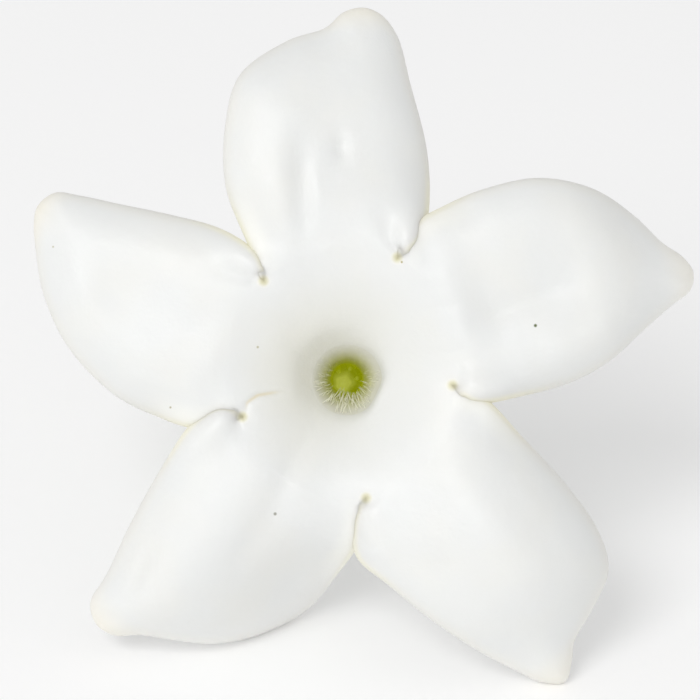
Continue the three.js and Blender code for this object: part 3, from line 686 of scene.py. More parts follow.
        # the tube's inside lies wholly under the painted shade round the mouth, and its olive, partly painted
        # shade, starts higher on the upper side
        upper = (1 + np.sin(np.radians(at))) / 2
        marks = {"mouth": r, "edge": FAR, "notch": FAR, "depth": -z, "halo": 1.0,
                 "green": smooth(*self.green, -z + self.painted_upper_shade_rise * upper),
                 "even": smooth(*self.even_throat, np.array(below))}
        return sheet.add(points, self.tube_wall, marks)

    def funnel_ring(self, sheet: Sheet, number: int) -> np.ndarray:
        """Adds one ring of the funnel.

        Args:
            sheet: The sheet.
            number: The ring's number, from 1 beside the mouth to the last, through the notches.

        Returns:
            The ring's point numbers.
        """
        share = (number / self.funnel_rings) ** self.ring_spacing
        columns = np.arange(self.columns)
        across = mix(2 * columns / self.columns - 1, self.across_at(columns), share)
        arcs = [self.notch_ring(index, across) for index in range(len(self.lobes))]
        rim_r, at = (np.concatenate(values) for values in zip(*arcs))
        r = mix(self.mouth_radius(at), rim_r, share)
        flat = polar(r, at)
        away = self.notch_distance(flat)
        beyond = r - mix(self.mouth_radius(at), self.throat_r, share)
        z = self.funnel_height(self.throat_r + beyond) - self.lip(beyond, at)
        z = z - self.rolled(away, away) + self.folded(flat) * smooth(0, self.fold_start, beyond)
        # painted shade round the mouth, strongest across from the mouth's flat side
        halo = smooth(*self.halo, r) * mix(self.painted_mouth_shade_least, 1, self.softness(at))
        marks = {"mouth": r, "edge": away, "notch": away, "depth": -z, "halo": halo,
                 "stain": self.painted_step_shade_share(flat), "even": smooth(*self.even_from, away)}
        walls = self.wall_at(flat, mix(self.tube_wall, self.lobe_wall, share))
        return sheet.add(np.column_stack([flat, z]), walls, marks)

    def trunk(self, sheet: Sheet) -> np.ndarray:
        """Adds the tube's inside and the funnel.

        Args:
            sheet: The sheet.

        Returns:
            The point numbers of the ring that the lobes start from.
        """
        line = self.bore_line()
        places = along(line, 1 - np.arange(self.tube_rings + 1) / self.tube_rings)
        rings = [self.tube_ring(sheet, r, z, z - line[0, 1]) for r, z in places]
        rings += [self.funnel_ring(sheet, number) for number in range(1, self.funnel_rings + 1)]
        rows = np.array(rings)
        sheet.grid(np.column_stack([rows, rows[:, :1]]))
        return rings[-1]

    def painted_step_shade_share(self, flat: np.ndarray) -> np.ndarray:
        """Finds which points are in the groove that carries the painted shade along a step.

        Args:
            flat: Rows of x and y in the flower's frame.

        Returns:
            How deep in it each is, from 0 to 1.
        """
        lobe, number = self.stain
        fold = self.lobes[lobe].folds[number]
        return fold.lift(turned(flat, -self.lobes[lobe].aim)) / fold.height

    def folded(self, flat: np.ndarray) -> np.ndarray:
        """Returns what all the lobes' folds add to the height at x, y points."""
        return sum(fold.lift(turned(flat, -lobe.aim)) for lobe in self.lobes for fold in lobe.folds)

    def lobe_height(self, index: int, flat: np.ndarray, across: np.ndarray, out: float, run: float,
                    edge: np.ndarray) -> np.ndarray:
        """Works out the relief of a lobe's face.

        Args:
            index: The lobe's number.
            flat: Rows of x and y in the flower's frame.
            across: Where each point stands between the rims, from -1 to 1.
            out: How far along the lobe the points' row is, from 0 to 1.
            run: How far along the rims from the notches the points' row starts.
            edge: Each point's distance from the rim.

        Returns:
            The height at each point.
        """
        lobe = self.lobes[index]
        local = turned(flat, -lobe.aim)
        x, y = local[:, 0], local[:, 1]
        from_notch = local - turned(self.notch_points()[index], -lobe.aim)
        away = self.notch_distance(flat)
        free, broad = smooth(*self.free, run), smooth(*self.broad, run)
        z = self.funnel_height(np.linalg.norm(flat, axis=1)) - self.rolled(edge, away, across * free, out)
        z = z + self.folded(flat)
        z -= lobe.droop * sum(share * smooth(start, end, x) for share, start, end in self.droops)
        hollow = smooth(*self.hollow_in, x) * (1 - smooth(*self.hollow_out, x))
        z -= free * lobe.hollow * hollow * bell(y - self.hollow_aside, self.hollow_width)
        ridge, _ = nearest_on_line(from_notch, np.array(self.corner_path))
        z += free * lobe.rise * bell(ridge, self.corner_width)
        z -= free * lobe.crease.drop(from_notch)
        z += broad * lobe.lean * y * smooth(*self.lean_grows, x)
        shed = np.clip(y * np.sign(lobe.shed) - self.shed_from, 0, None) ** 2
        z -= broad * abs(lobe.shed) * shed / self.shed_scale * smooth(*self.shed_grows, x)
        deep = self.clearance - self.lobes[(index + 1) % len(self.lobes)].rise
        return z - float(smooth(*self.tuck_grows, run)) * deep * self.tucked(across, away, edge)

    def tucked(self, across: np.ndarray, away: np.ndarray, edge: np.ndarray) -> np.ndarray:
        """Returns how fully the face is tucked under the next lobe's corner, from 0 to 1."""
        near = smooth(*self.tuck_in, away) * (1 - smooth(*self.tuck_out, away))
        return near * (1 - smooth(*self.tuck_edge, edge)) * smooth(*self.tuck_side, across)

    def add_lobe(self, sheet: Sheet, index: int, ring: np.ndarray) -> None:
        """Adds one lobe's face to the sheet, from the notch ring out to its tip.

        Args:
            sheet: The sheet.
            index: The lobe's number.
            ring: The point numbers of the ring through the notches.
        """
        lobe, ends = self.lobes[index], self.notch_points()
        begin, end = ends[index], ends[(index + 1) % len(ends)]
        tip = turned(np.array(lobe.tip), lobe.aim)
        over, under = turned(lobe.over, lobe.aim), turned(lobe.under, lobe.aim)
        rim = line_through([begin, *over, tip, *under, end], self.outline_steps)
        peak = int(np.argmin(np.linalg.norm(rim - tip, axis=1)))
        over, under = rims = rim[: peak + 1], rim[peak:][::-1]
        columns = np.arange(self.columns + 1)
        across = self.across_at(columns)
        first = ring[(index * self.columns + columns) % len(ring)]
        arc = np.vstack(sheet.points)[first][:, :2]
        chord = mix(arc[0], arc[-1], ((across + 1) / 2)[:, None])
        rows = [first]
        even = np.arange(1, self.lobe_rows) / self.lobe_rows
        shares = mix(even, (1 - np.cos(pi * even)) / 2, self.crowding)
        length = float(np.linalg.norm(np.diff(over, axis=0), axis=1).sum())
        for out, left, right in zip(shares, along(over, shares), along(under, shares)):
            flat = mix(left, right, ((across + 1) / 2)[:, None]) + (arc - chord) * (1 - out) ** 2
            rows.append(self.lobe_row(sheet, index, flat, across, out, out * length, rims))
        point = self.lobe_row(sheet, index, tip[None], np.zeros(1), 1.0, length, rims)
        rows.append(np.repeat(point, len(columns)))
        sheet.grid(np.array(rows))

    @staticmethod
    def rim_distance(points: np.ndarray, rims: tuple[np.ndarray, np.ndarray]) -> np.ndarray:
        """Returns each point's distance to a lobe's two rims, blended so that no ridge shows between them."""
        over, under = (np.maximum(nearest_on_line(points, rim)[0], TINY) for rim in rims)
        return (over**-3 + under**-3) ** (-1 / 3)

    def lobe_row(self, sheet: Sheet, index: int, flat: np.ndarray, across: np.ndarray, out: float, run: float,
                 rims: tuple[np.ndarray, np.ndarray]) -> np.ndarray:
        """Adds one row of a lobe's points.

        Args:
            sheet: The sheet.
            index: The lobe's number.
            flat: Rows of x and y in the flower's frame.
            across: Where each point stands between the rims, from -1 to 1.
            out: How far along the lobe the row is, from 0 to 1.
            run: How far along the rims from the notches the row starts.
            rims: The lobe's two rims, from the notches to the tip.

        Returns:
            The points' numbers.
        """
        away = self.notch_distance(flat)
        edge = mix(away, self.rim_distance(flat, rims), float(smooth(*self.free, run)))
        z = self.lobe_height(index, flat, across, out, run, edge)
        body = mix(self.lobe_wall, self.rim_wall, smooth(*self.rim_thins, np.maximum(np.abs(across), out)))
        body = mix(body, self.tip_wall, smooth(*self.tip_thins, out))
        marks = {"mouth": np.linalg.norm(flat, axis=1), "edge": edge, "notch": away, "out": out, "depth": -z,
                 "tucked": self.tucked(across, away, edge),
                 "even": smooth(*self.even_from, edge) * (1 - smooth(*self.even_to, away))}
        return sheet.add(np.column_stack([flat, z]), self.wall_at(flat, body), marks)

    def build(self) -> bpy.types.Object:
        """Returns the whole corolla as one closed mesh, dressed."""
        sheet = Sheet()
        ring = self.trunk(sheet)
        for index in range(len(self.lobes)):
            self.add_lobe(sheet, index, ring)
        points, faces, marks = sheet.solid(self.rim_steps, self.even_passes)
        piece = flower_mesh("corolla_petals", points, faces, PetalFinish().build())
        for name, values in marks.items():
            attribute = piece.data.attributes.new(name, "FLOAT", "POINT")
            attribute.data.foreach_set("value", values.astype(np.float32))
        place_mesh(piece)
        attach(piece, "root")
        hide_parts("corolla")
        return piece

    def outside_line(self, clear: float) -> np.ndarray:
        """Draws the line that keeps a distance outside the tube's inside.

        Args:
            clear: The distance, in millimetres.

        Returns:
            Rows of distance from the axis and height, from the foot up to the mouth.
        """
        line = self.bore_line()
        step = np.diff(line, axis=0)
        step /= np.linalg.norm(step, axis=1)[:, None]
        return (line[1:] + np.column_stack([-step[:, 1], step[:, 0]]) * clear)[::-1]


# ---------------------------------------------------------------- the pieces behind and inside the flower


@dataclass
class ThroatHairs:
    """The pale hairs that line the mouth and the upper tube and point in towards the middle."""

    count: int = 240
    high: float = -3.5
    low: float = -5.9
    high_r: float = 2.38
    low_r: float = 1.45
    length: float = 0.85
    lengths: Pair = (0.6, 1.1)
    top_share: float = 0.15
    stray: Pair = (-0.28, 0.28)
    nod: Pair = (-0.4, 0.3)
    rise: float = 0.2
    bend_at: float = 0.55
    thickness: float = 0.04
    taper: float = 0.7
    steps: int = 6
    sides: int = 5
    seed: int = 11

    def tree(self) -> bpy.types.NodeTree:
        """Returns the node tree that scatters one bent, tapering hair over the tube's wall."""
        tree, given = geometry_tree("throat_hairs", {
            "Count": self.count, "High": self.high, "Low": self.low, "High Radius": self.high_r,
            "Low Radius": self.low_r, "Length": self.length, "Thickness": self.thickness, "Rise": self.rise,
            "Top Share": self.top_share, "Seed": self.seed})
        points = add_node(tree, "GeometryNodePoints", {"Count": given["Count"]})
        ranges = ((0.0, 1.0), (0.0, 2 * pi), self.stray, self.lengths, self.nod)
        height, turn, stray, long, nod = (
            random_value(tree, given["Seed"], low, high, draw) for draw, (low, high) in enumerate(ranges, 1))
        upper = times(tree, plus(tree, math_node(tree, "SINE", turn), 1.0), 0.5)
        shorter = times(tree, upper, minus(tree, 1.0, given["Top Share"]))
        long = times(tree, long, minus(tree, 1.0, shorter))
        z = plus(tree, given["Low"], times(tree, height, minus(tree, given["High"], given["Low"])))
        wider = minus(tree, given["High Radius"], given["Low Radius"])
        r = plus(tree, given["Low Radius"], times(tree, height, wider))
        x, y = (times(tree, r, math_node(tree, part, turn)) for part in ("COSINE", "SINE"))
        placed = add_node(tree, "GeometryNodeSetPosition", {
            "Geometry": points.outputs[0], "Position": vector(tree, x, y, z)})
        inward = plus(tree, plus(tree, turn, pi), stray)
        scattered = add_node(tree, "GeometryNodeInstanceOnPoints", {
            "Points": placed.outputs[0], "Instance": self.one_hair(tree, given),
            "Rotation": vector(tree, 0.0, nod, inward), "Scale": long})
        close_tree(tree, scattered.outputs[0], given["Finish"])
        return tree

    def one_hair(self, tree: bpy.types.NodeTree, given: dict[str, Socket]) -> Socket:
        """Makes a hair that grows along +X from the origin, bends up, and tapers to its tip.

        Args:
            tree: The tree.
            given: The tree's inputs.

        Returns:
            The hair's mesh.
        """
        bend_at = times(tree, given["Length"], self.bend_at)
        line = add_node(tree, "GeometryNodeCurveQuadraticBezier", {
            "Resolution": self.steps, "Start": (0.0, 0.0, 0.0), "Middle": vector(tree, bend_at, 0.0, 0.0),
            "End": vector(tree, given["Length"], 0.0, given["Rise"])})
        share = add_node(tree, "GeometryNodeSplineParameter").outputs["Factor"]
        taper = minus(tree, 1.0, times(tree, share, self.taper))
        return swept(tree, line.outputs[0], times(tree, given["Thickness"], taper), self.sides)

    def build(self) -> bpy.types.Object:
        """Returns the hairs as one mesh, dressed."""
        piece = grown("throat_hairs", self.tree(), HairFinish().build())
        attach(piece, "root")
        return piece


@dataclass
class Gynostegium:
    """The column of fused anthers and style in the tube's foot, with a pointed scale on each anther.

    The scale's outline is a part of a sine: its least width and what is added to it, as shares, and where on
    the sine it starts and how far it goes.
    """

    foot: float = -27.7
    top: float = -18.9
    radius: float = 1.2
    scale_foot: float = -26.4
    scale_top: float = -20.8
    scale_width: float = 1.0
    scale_thick: float = 0.6
    scale_out: float = 1.08
    scale_outline: tuple[float, float, float, float] = (0.35, 0.65, 0.12, 0.8)
    scale_points: float = 0.55
    scale_thins: float = 0.5
    lean: float = 0.6
    dome: float = 0.55
    off: Pair = (-0.3, -0.35)
    girth: float = 0.78
    bulge: float = 0.5
    bulge_low: float = 1.15
    narrows: float = 0.42
    rib: float = 0.07
    sides: int = 60
    rows: int = 36
    dome_rows: int = 10
    scale_sides: int = 18
    scale_rows: int = 22

    def column(self) -> bpy.types.Object:
        """Returns the five-sided column, which swells low down and ends in a flat dome."""
        t = np.linspace(0, 1, self.rows)
        swell = self.bulge * np.sin(pi * np.minimum(1, t * self.bulge_low))
        r = self.radius * (self.girth + swell - self.narrows * t * t)
        z = mix(self.foot, self.top, t)
        dome = np.linspace(0.1, 1, self.dome_rows) * pi / 2
        r = np.concatenate([r, r[-1] * np.cos(dome)])
        z = np.concatenate([z, self.top + self.dome * np.sin(dome)])
        at = directions(self.sides)
        ribs = 1 + self.rib * np.cos(LOBE_COUNT * np.radians(at))
        rings = []
        for radius, h in zip(r, z):
            off = np.array(self.off) * smooth(self.foot, self.top, np.array(h))
            rings.append(np.column_stack([polar(radius * ribs, at) + off, np.full(self.sides, h)]))
        return lofted("gynostegium_column", rings, ColumnFinish().build())

    def scale_mesh(self) -> bpy.types.Object:
        """Returns one anther with its scale, on the +X side: broad low down, pointed at its top."""
        least, more, start, stretch = self.scale_outline
        around = np.radians(directions(self.scale_sides))
        rings = []
        for t in np.linspace(0, 1, self.scale_rows):
            broad = (least + more * sin(pi * (start + stretch * t))) * (1 - self.scale_points * t**6)
            thin = 1 - self.scale_thins * t**4
            middle = self.radius * self.scale_out - self.lean * t * t
            x = middle + self.scale_thick / 2 * thin * np.cos(around)
            z = np.full(self.scale_sides, mix(self.scale_foot, self.scale_top, t))
            rings.append(np.column_stack([x, self.scale_width / 2 * broad * np.sin(around), z]))
        return lofted("gynostegium_scales", rings, AntherFinish().build())

    def build(self) -> list[bpy.types.Object]:
        """Returns the column and its ring of scales, dressed."""
        column, scales = self.column(), self.scale_mesh()
        ring_of(scales, 0.0)
        for piece in (column, scales):
            place_mesh(piece)
            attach(piece, "root")
        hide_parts("gynostegium")
        return [column, scales]


@dataclass
class Calyx:
    """The green cup under the tube's foot, and the five sepals that rise from it and hug the foot.

    A sepal's outline is a part of a sine to a power: where on the sine it starts, how far it goes, and the
    power.
    """

    corolla: Corolla
    gap: float = 0.3
    top: float = -29.65
    foot: float = -31.1
    radius: float = 2.2
    neck: float = 1.5
    neck_curve: tuple[Pair, ...] = ((0.0, 0.0), (0.4, 0.22))
    wall_up: float = 0.7
    edge_curve: tuple[Pair, ...] = ((0.0, -0.4), (-0.15, -0.12), (-0.4, 0.0))
    socket: Pair = (1.3, 0.5)
    bevel: float = 0.08
    root: Pair = (0.9, -29.62)
    length: float = 6.2
    width: float = 3.5
    outline: Triple = (0.2, 0.785, 0.75)
    thick: float = 0.62
    margin: float = 0.24
    rib: float = 0.1
    rib_width: float = 0.12
    waist: float = 1.4
    first: float = 52.0
    spread: float = 0.4
    sides: int = 60
    cup_steps: int = 24
    path_steps: int = 400
    path_skip: int = 8
    look_ahead: float = 0.01
    rows: int = 44
    across: int = 16

    def cup(self) -> bpy.types.Object:
        """Returns the receptacle, with the socket that the stalk stands in."""
        wide, deep = self.socket
        inside = [(wide, self.foot + deep), (wide, self.foot + self.bevel), (wide + self.bevel, self.foot)]
        neck = [(self.neck + out, self.foot + up) for out, up in self.neck_curve]
        edge = [(self.radius + out, self.top + up) for out, up in self.edge_curve]
        outside = line_through([*neck, (self.radius, self.foot + self.wall_up), *edge], self.cup_steps)
        at = directions(self.sides)
        rings = [np.column_stack([polar(np.full(self.sides, r), at), np.full(self.sides, z)])
                 for r, z in [*inside, *outside]]
        return lofted("calyx_cup", rings, SepalFinish("calyx_green").build())

    def sepal(self) -> bpy.types.Object:
        """Returns one sepal on the +X side: a pointed blade, thick along its middle, that hugs the foot."""
        outside = self.corolla.outside_line(self.corolla.tube_wall + self.gap)
        foot = outside[outside[:, 1] < self.corolla.bore[-1][1] + self.length]
        path = line_through([self.root, *foot[:: self.path_skip]], self.path_steps)
        whole = float(np.linalg.norm(np.diff(path, axis=0), axis=1).sum())
        side = np.concatenate([np.linspace(-1, 1, self.across), np.linspace(1, -1, self.across)])
        outer = np.repeat([0.0, 1.0], self.across)
        start, stretch, full = self.outline
        rings = []
        for t in np.linspace(0, 1, self.rows):
            share = t * self.length / whole
            nearby = [share, share + self.look_ahead, max(0.0, share - self.look_ahead)]
            here, ahead, behind = along(path, np.array(nearby))
            out, up = (ahead - behind) / np.linalg.norm(ahead - behind)
            half = self.width / 2 * sin(pi * (start + stretch * t)) ** full
            thick = mix(self.margin, self.thick, 1 - side**2) + self.rib * bell(side, self.rib_width)
            off = self.spread * t**3 + outer * thick
            swing = np.degrees(side * half / max(here[0], self.waist))
            points = np.column_stack([polar(here[0] + off * up, swing), here[1] - off * out])
            rings.append(points[::-1])
        return lofted("calyx_sepals", rings, SepalFinish("sepal_green").build())

    def build(self) -> list[bpy.types.Object]:
        """Returns the cup and its ring of sepals, dressed."""
        cup, sepals = self.cup(), self.sepal()
        ring_of(sepals, self.first)
        for piece in (cup, sepals):
            place_mesh(piece)
            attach(piece, "root")
        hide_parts("calyx")
        return [cup, sepals]


@dataclass
class Pedicel:
    """The short round stalk, which bows a little and is thicker at its two ends.

    Head and foot are how much thicker it is there; the larger the number called short, the sooner that ends.
    """

    start: float = -30.9
    length: float = 13.0
    radius: float = 0.95
    head: float = 0.3
    head_short: float = 5.0
    foot: float = 0.12
    foot_short: float = 8.0
    bow: float = 1.1
    steps: int = 48
    sides: int = 40

    def tree(self) -> bpy.types.NodeTree:
        """Returns the node tree that sweeps a round section along the stalk's bow."""
        tree, given = geometry_tree("pedicel", {
            "Start": self.start, "Length": self.length, "Radius": self.radius, "Head": self.head,
            "Bow": self.bow})
        bottom = minus(tree, given["Start"], given["Length"])
        half = minus(tree, given["Start"], times(tree, given["Length"], 0.5))
        line = add_node(tree, "GeometryNodeCurveQuadraticBezier", {
            "Resolution": self.steps, "Start": vector(tree, 0.0, given["Bow"], bottom),
            "Middle": vector(tree, 0.0, 0.0, half), "End": vector(tree, 0.0, 0.0, given["Start"])})
        share = add_node(tree, "GeometryNodeSplineParameter").outputs["Factor"]
        head = times(tree, given["Head"], math_node(tree, "POWER", share, self.head_short))
        foot = times(tree, math_node(tree, "POWER", minus(tree, 1.0, share), self.foot_short), self.foot)
        thick = plus(tree, plus(tree, given["Radius"], foot), head)
        close_tree(tree, swept(tree, line.outputs[0], thick, self.sides), given["Finish"])
        return tree

    def build(self) -> bpy.types.Object:
        """Returns the stalk, dressed."""
        piece = grown("pedicel_stalk", self.tree(), StalkFinish().build())
        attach(piece, "root")
        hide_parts("pedicel")
        return piece


# ---------------------------------------------------------------- node trees that grow pieces


def add_node(tree: bpy.types.NodeTree, kind: str, inputs: dict | None = None,
             **settings: object) -> bpy.types.Node:
    """Adds a node to a tree.

    Args:
        tree: The tree.
        kind: The node's type.
        inputs: Input names or numbers, each with a socket to link or a value to hold.
        settings: The node's own settings.

    Returns:
        The node.
    """
    node = tree.nodes.new(kind)
    for name, value in settings.items():
        setattr(node, name, value)
    for name, value in (inputs or {}).items():
        if isinstance(value, Socket):
            tree.links.new(value, node.inputs[name])
        else:
            node.inputs[name].default_value = value
    return node


def math_node(tree: bpy.types.NodeTree, operation: str, *values: Value) -> Socket:
    """Returns the result of a calculation on sockets and numbers."""
    return add_node(tree, "ShaderNodeMath", dict(enumerate(values)), operation=operation).outputs[0]


def times(tree: bpy.types.NodeTree, *values: Value) -> Value:
    """Multiplies sockets and numbers.

    Args:
        tree: The tree.
        values: The sockets and numbers, in order.

    Returns:
        Their product, which is the value itself where only one is given.
    """
    product = values[0]
    for value in values[1:]:
        product = math_node(tree, "MULTIPLY", product, value)
    return product


def plus(tree: bpy.types.NodeTree, a: Value, b: Value) -> Socket:
    """Returns the sum of two sockets or numbers."""
    return math_node(tree, "ADD", a, b)


def minus(tree: bpy.types.NodeTree, a: Value, b: Value) -> Socket:
    """Returns the first of two sockets or numbers less the second."""
    return math_node(tree, "SUBTRACT", a, b)


def vector(tree: bpy.types.NodeTree, x: Value, y: Value, z: Value) -> Socket:
    """Returns a vector with three parts."""
    return add_node(tree, "ShaderNodeCombineXYZ", {0: x, 1: y, 2: z}).outputs[0]


def random_value(tree: bpy.types.NodeTree, seed: Socket, low: float, high: float, draw: int) -> Socket:
    """Draws a random number for each point, the same on every run.

    Args:
        tree: The tree.
        seed: The tree's seed.
        low: The least it can be.
        high: The most it can be.
        draw: The draw's number: each has its own numbers.

    Returns:
        The number at each point.
    """
    own = plus(tree, seed, float(draw * SEED_STEP))
    inputs = {2: low, 3: high, "Seed": own}
    return add_node(tree, "FunctionNodeRandomValue", inputs, data_type="FLOAT").outputs[1]


def geometry_tree(name: str, sizes: dict[str, float]) -> tuple[bpy.types.NodeTree, dict[str, Socket]]:
    """Starts a geometry tree, which also has inputs named Geometry and Finish.

    Args:
        name: The tree's name.
        sizes: The values of its named inputs.

    Returns:
        The tree, and its inputs' sockets by name.
    """
    tree = bpy.data.node_groups.new(name, "GeometryNodeTree")
    face = tree.interface
    face.new_socket("Geometry", in_out="INPUT", socket_type="NodeSocketGeometry")
    for label, value in sizes.items():
        kind = "NodeSocketInt" if isinstance(value, int) else "NodeSocketFloat"
        face.new_socket(label, in_out="INPUT", socket_type=kind).default_value = value
    face.new_socket("Finish", in_out="INPUT", socket_type="NodeSocketMaterial")
    face.new_socket("Geometry", in_out="OUTPUT", socket_type="NodeSocketGeometry")
    start = tree.nodes.new("NodeGroupInput")
    return tree, {socket.name: socket for socket in start.outputs if socket.name}


def swept(tree: bpy.types.NodeTree, line: Socket, radius: Value, sides: int) -> Socket:
    """Sweeps a round section along a line.

    Args:
        tree: The tree.
        line: The line.
        radius: The radius at each of its points.
        sides: How many sides the round section has.

    Returns:
        The mesh, with closed ends.
    """
    sized = add_node(tree, "GeometryNodeSetCurveRadius", {"Curve": line, "Radius": radius})
    section = add_node(tree, "GeometryNodeCurvePrimitiveCircle", {"Resolution": sides, "Radius": 1.0})
    return add_node(tree, "GeometryNodeCurveToMesh", {
        "Curve": sized.outputs[0], "Profile Curve": section.outputs[0], "Fill Caps": True,
        "Scale": add_node(tree, "GeometryNodeInputRadius").outputs[0]}).outputs[0]


def close_tree(tree: bpy.types.NodeTree, geometry: Socket, finish: Socket) -> None:
    """Ends a tree: every copy becomes real mesh, smooth and dressed.

    Args:
        tree: The tree.
        geometry: What it has made.
        finish: The material's socket.
    """
    real = add_node(tree, "GeometryNodeRealizeInstances", {"Geometry": geometry})
    even = add_node(tree, "GeometryNodeSetShadeSmooth", {"Geometry": real.outputs[0], "Shade Smooth": True})
    dressed = add_node(tree, "GeometryNodeSetMaterial", {"Geometry": even.outputs[0], "Material": finish})
    add_node(tree, "NodeGroupOutput", {0: dressed.outputs[0]})


def run_tree(piece: bpy.types.Object, tree: bpy.types.NodeTree, finish: bpy.types.Material) -> None:
    """Runs a geometry tree on a piece, and keeps the result as its plain mesh.

    Args:
        piece: The object that the tree starts from.
        tree: The tree.
        finish: What the result is dressed in.
    """
    modifier = piece.modifiers.new("grow", "NODES")
    modifier.node_group = tree
    for item in tree.interface.items_tree:
        if item.name == "Finish":
            modifier[item.identifier] = finish
    shown = piece.evaluated_get(bpy.context.evaluated_depsgraph_get())
    mesh = bpy.data.meshes.new_from_object(shown)
    piece.modifiers.clear()
    piece.data = mesh
    mesh.name = piece.name


def grown(name: str, tree: bpy.types.NodeTree, finish: bpy.types.Material) -> bpy.types.Object:
    """Grows a piece from nothing, and lays it down.

    Args:
        name: The piece's name.
        tree: The geometry tree.
        finish: Its material.

    Returns:
        The piece.
    """
    piece = bpy.data.objects.new(name, bpy.data.meshes.new(name))
    bpy.context.scene.collection.objects.link(piece)
    run_tree(piece, tree, finish)
    place_mesh(piece)
    return piece


def ring_of(piece: bpy.types.Object, first: float) -> None:
    """Repeats a piece round the flower's axis, once for each lobe.

    Args:
        piece: The piece, in the flower's frame; it becomes the whole ring.
        first: The direction of the first copy, in degrees.
    """
    tree, given = geometry_tree(piece.name + "_ring", {"Count": LOBE_COUNT, "First": radians(first)})
    points = add_node(tree, "GeometryNodePoints", {"Count": given["Count"]})
    index = add_node(tree, "GeometryNodeInputIndex").outputs[0]
    step = math_node(tree, "DIVIDE", 2 * pi, given["Count"])
    turn = plus(tree, given["First"], times(tree, index, step))
    copies = add_node(tree, "GeometryNodeInstanceOnPoints", {
        "Points": points.outputs[0], "Instance": given["Geometry"], "Rotation": vector(tree, 0.0, 0.0, turn)})
    close_tree(tree, copies.outputs[0], given["Finish"])
    run_tree(piece, tree, piece.data.materials[0])


# ---------------------------------------------------------------- meshes


def flower_mesh(name: str, points: np.ndarray, faces: list[Face],
                finish: bpy.types.Material) -> bpy.types.Object:
    """Makes a smooth-shaded mesh object, still in the flower's frame.

    Args:
        name: The object's name.
        points: Rows of x, y, z in the flower's frame, in millimetres.
        faces: Each face's corners.
        finish: Its material.

    Returns:
        The object.
    """
    mesh = bpy.data.meshes.new(name)
    mesh.from_pydata(np.asarray(points).tolist(), [], faces)
    mesh.shade_smooth()
    mesh.materials.append(finish)
    piece = bpy.data.objects.new(name, mesh)
    bpy.context.scene.collection.objects.link(piece)
    return piece


def lofted(name: str, rings: list[np.ndarray], finish: bpy.types.Material) -> bpy.types.Object:
    """Makes a closed tube through rings of points, its ends capped.

    Args:
        name: The object's name.
        rings: The rings, each with the same number of points.
        finish: Its material.

    Returns:
        The object, still in the flower's frame.
    """
    sides = len(rings[0])
    index = np.arange(len(rings) * sides).reshape(len(rings), sides)
    beside = np.roll(index, -1, axis=1)
    walls = np.stack([index[:-1], beside[:-1], beside[1:], index[1:]], -1).reshape(-1, 4)
    faces = [tuple(map(int, face)) for face in walls]
    faces += [tuple(map(int, index[0][::-1])), tuple(map(int, index[-1]))]
    return flower_mesh(name, np.vstack(rings), faces, finish)


def place_mesh(piece: bpy.types.Object) -> None:
    """Keeps each point's place in the flower's frame as an attribute, and lays the mesh down.

    Args:
        piece: The piece, still in the flower's frame.
    """
    mesh = piece.data
    points = np.zeros(len(mesh.vertices) * 3, np.float32)
    mesh.vertices.foreach_get("co", points)
    mesh.attributes.new("flower", "FLOAT_VECTOR", "POINT").data.foreach_set("vector", points)
    mesh.transform(LIE.matrix())
    mesh.update()


# ---------------------------------------------------------------- finishes


def linear(colour: str) -> Colour:
    """Turns an sRGB colour into a linear one.

    Args:
        colour: A hash and six digits.

    Returns:
        Linear red, green, blue and alpha.
    """
    parts = [int(colour[i : i + 2], 16) / 255 for i in (1, 3, 5)]
    r, g, b = (c / 12.92 if c <= 0.04045 else ((c + 0.055) / 1.055) ** 2.4 for c in parts)
    return r, g, b, 1.0


class Curve(Enum):
    """How a value rises between its two ends: easily at both, or straight."""

    EASY = "SMOOTHSTEP"
    STRAIGHT = "LINEAR"


class Side(Enum):
    """The side of the petals that a tint lies on."""

    BOTH = 0
    FRONT = 1
    BACK = 2


def mark(tree: bpy.types.NodeTree, name: str) -> Socket:
    """Returns a number kept at each point of the mesh."""
    return add_node(tree, "ShaderNodeAttribute", attribute_name=name).outputs["Fac"]


def flower_place(tree: bpy.types.NodeTree) -> Socket:
    """Returns the place in the flower's own frame, in millimetres."""
    return add_node(tree, "ShaderNodeAttribute", attribute_name="flower").outputs["Vector"]


def flower_height(tree: bpy.types.NodeTree) -> Socket:
    """Returns the height along the flower's axis, in millimetres."""
    return add_node(tree, "ShaderNodeSeparateXYZ", {0: flower_place(tree)}).outputs[2]


def ramp(tree: bpy.types.NodeTree, value: Value, ends: Pair, curve: Curve = Curve.EASY) -> Socket:
    """Makes a rise from 0 to 1 as a value goes from one end to the other.

    Args:
        tree: The tree.
        value: The value.
        ends: Where the rise starts and where it ends; the first may be the larger.
        curve: How it rises.

    Returns:
        The rise, from 0 to 1.
    """
    low, high = ends
    limits = {"Value": value, "From Min": min(ends), "From Max": max(ends),
              "To Min": float(low > high), "To Max": float(low < high)}
    return add_node(tree, "ShaderNodeMapRange", limits, interpolation_type=curve.value).outputs[0]


def between(tree: bpy.types.NodeTree, share: Socket, low: float, high: float) -> Socket:
    """Returns a value that goes straight from low to high as a share goes from 0 to 1."""
    return add_node(tree, "ShaderNodeMapRange", {"Value": share, "To Min": low, "To Max": high}).outputs[0]


def blend(tree: bpy.types.NodeTree, share: Value, under: Socket | Colour, over: str) -> Socket:
    """Returns one colour laid over another by a share."""
    return add_node(tree, "ShaderNodeMix", {0: share, 6: under, 7: linear(over)}, data_type="RGBA").outputs[2]


def raised(tree: bpy.types.NodeTree, shader: bpy.types.Node, height: Socket, deep: float) -> None:
    """Makes a pattern stand up from the surface by a depth in millimetres."""
    bump = add_node(tree, "ShaderNodeBump", {"Height": height, "Distance": deep * MM, "Strength": 1.0})
    tree.links.new(bump.outputs[0], shader.inputs["Normal"])


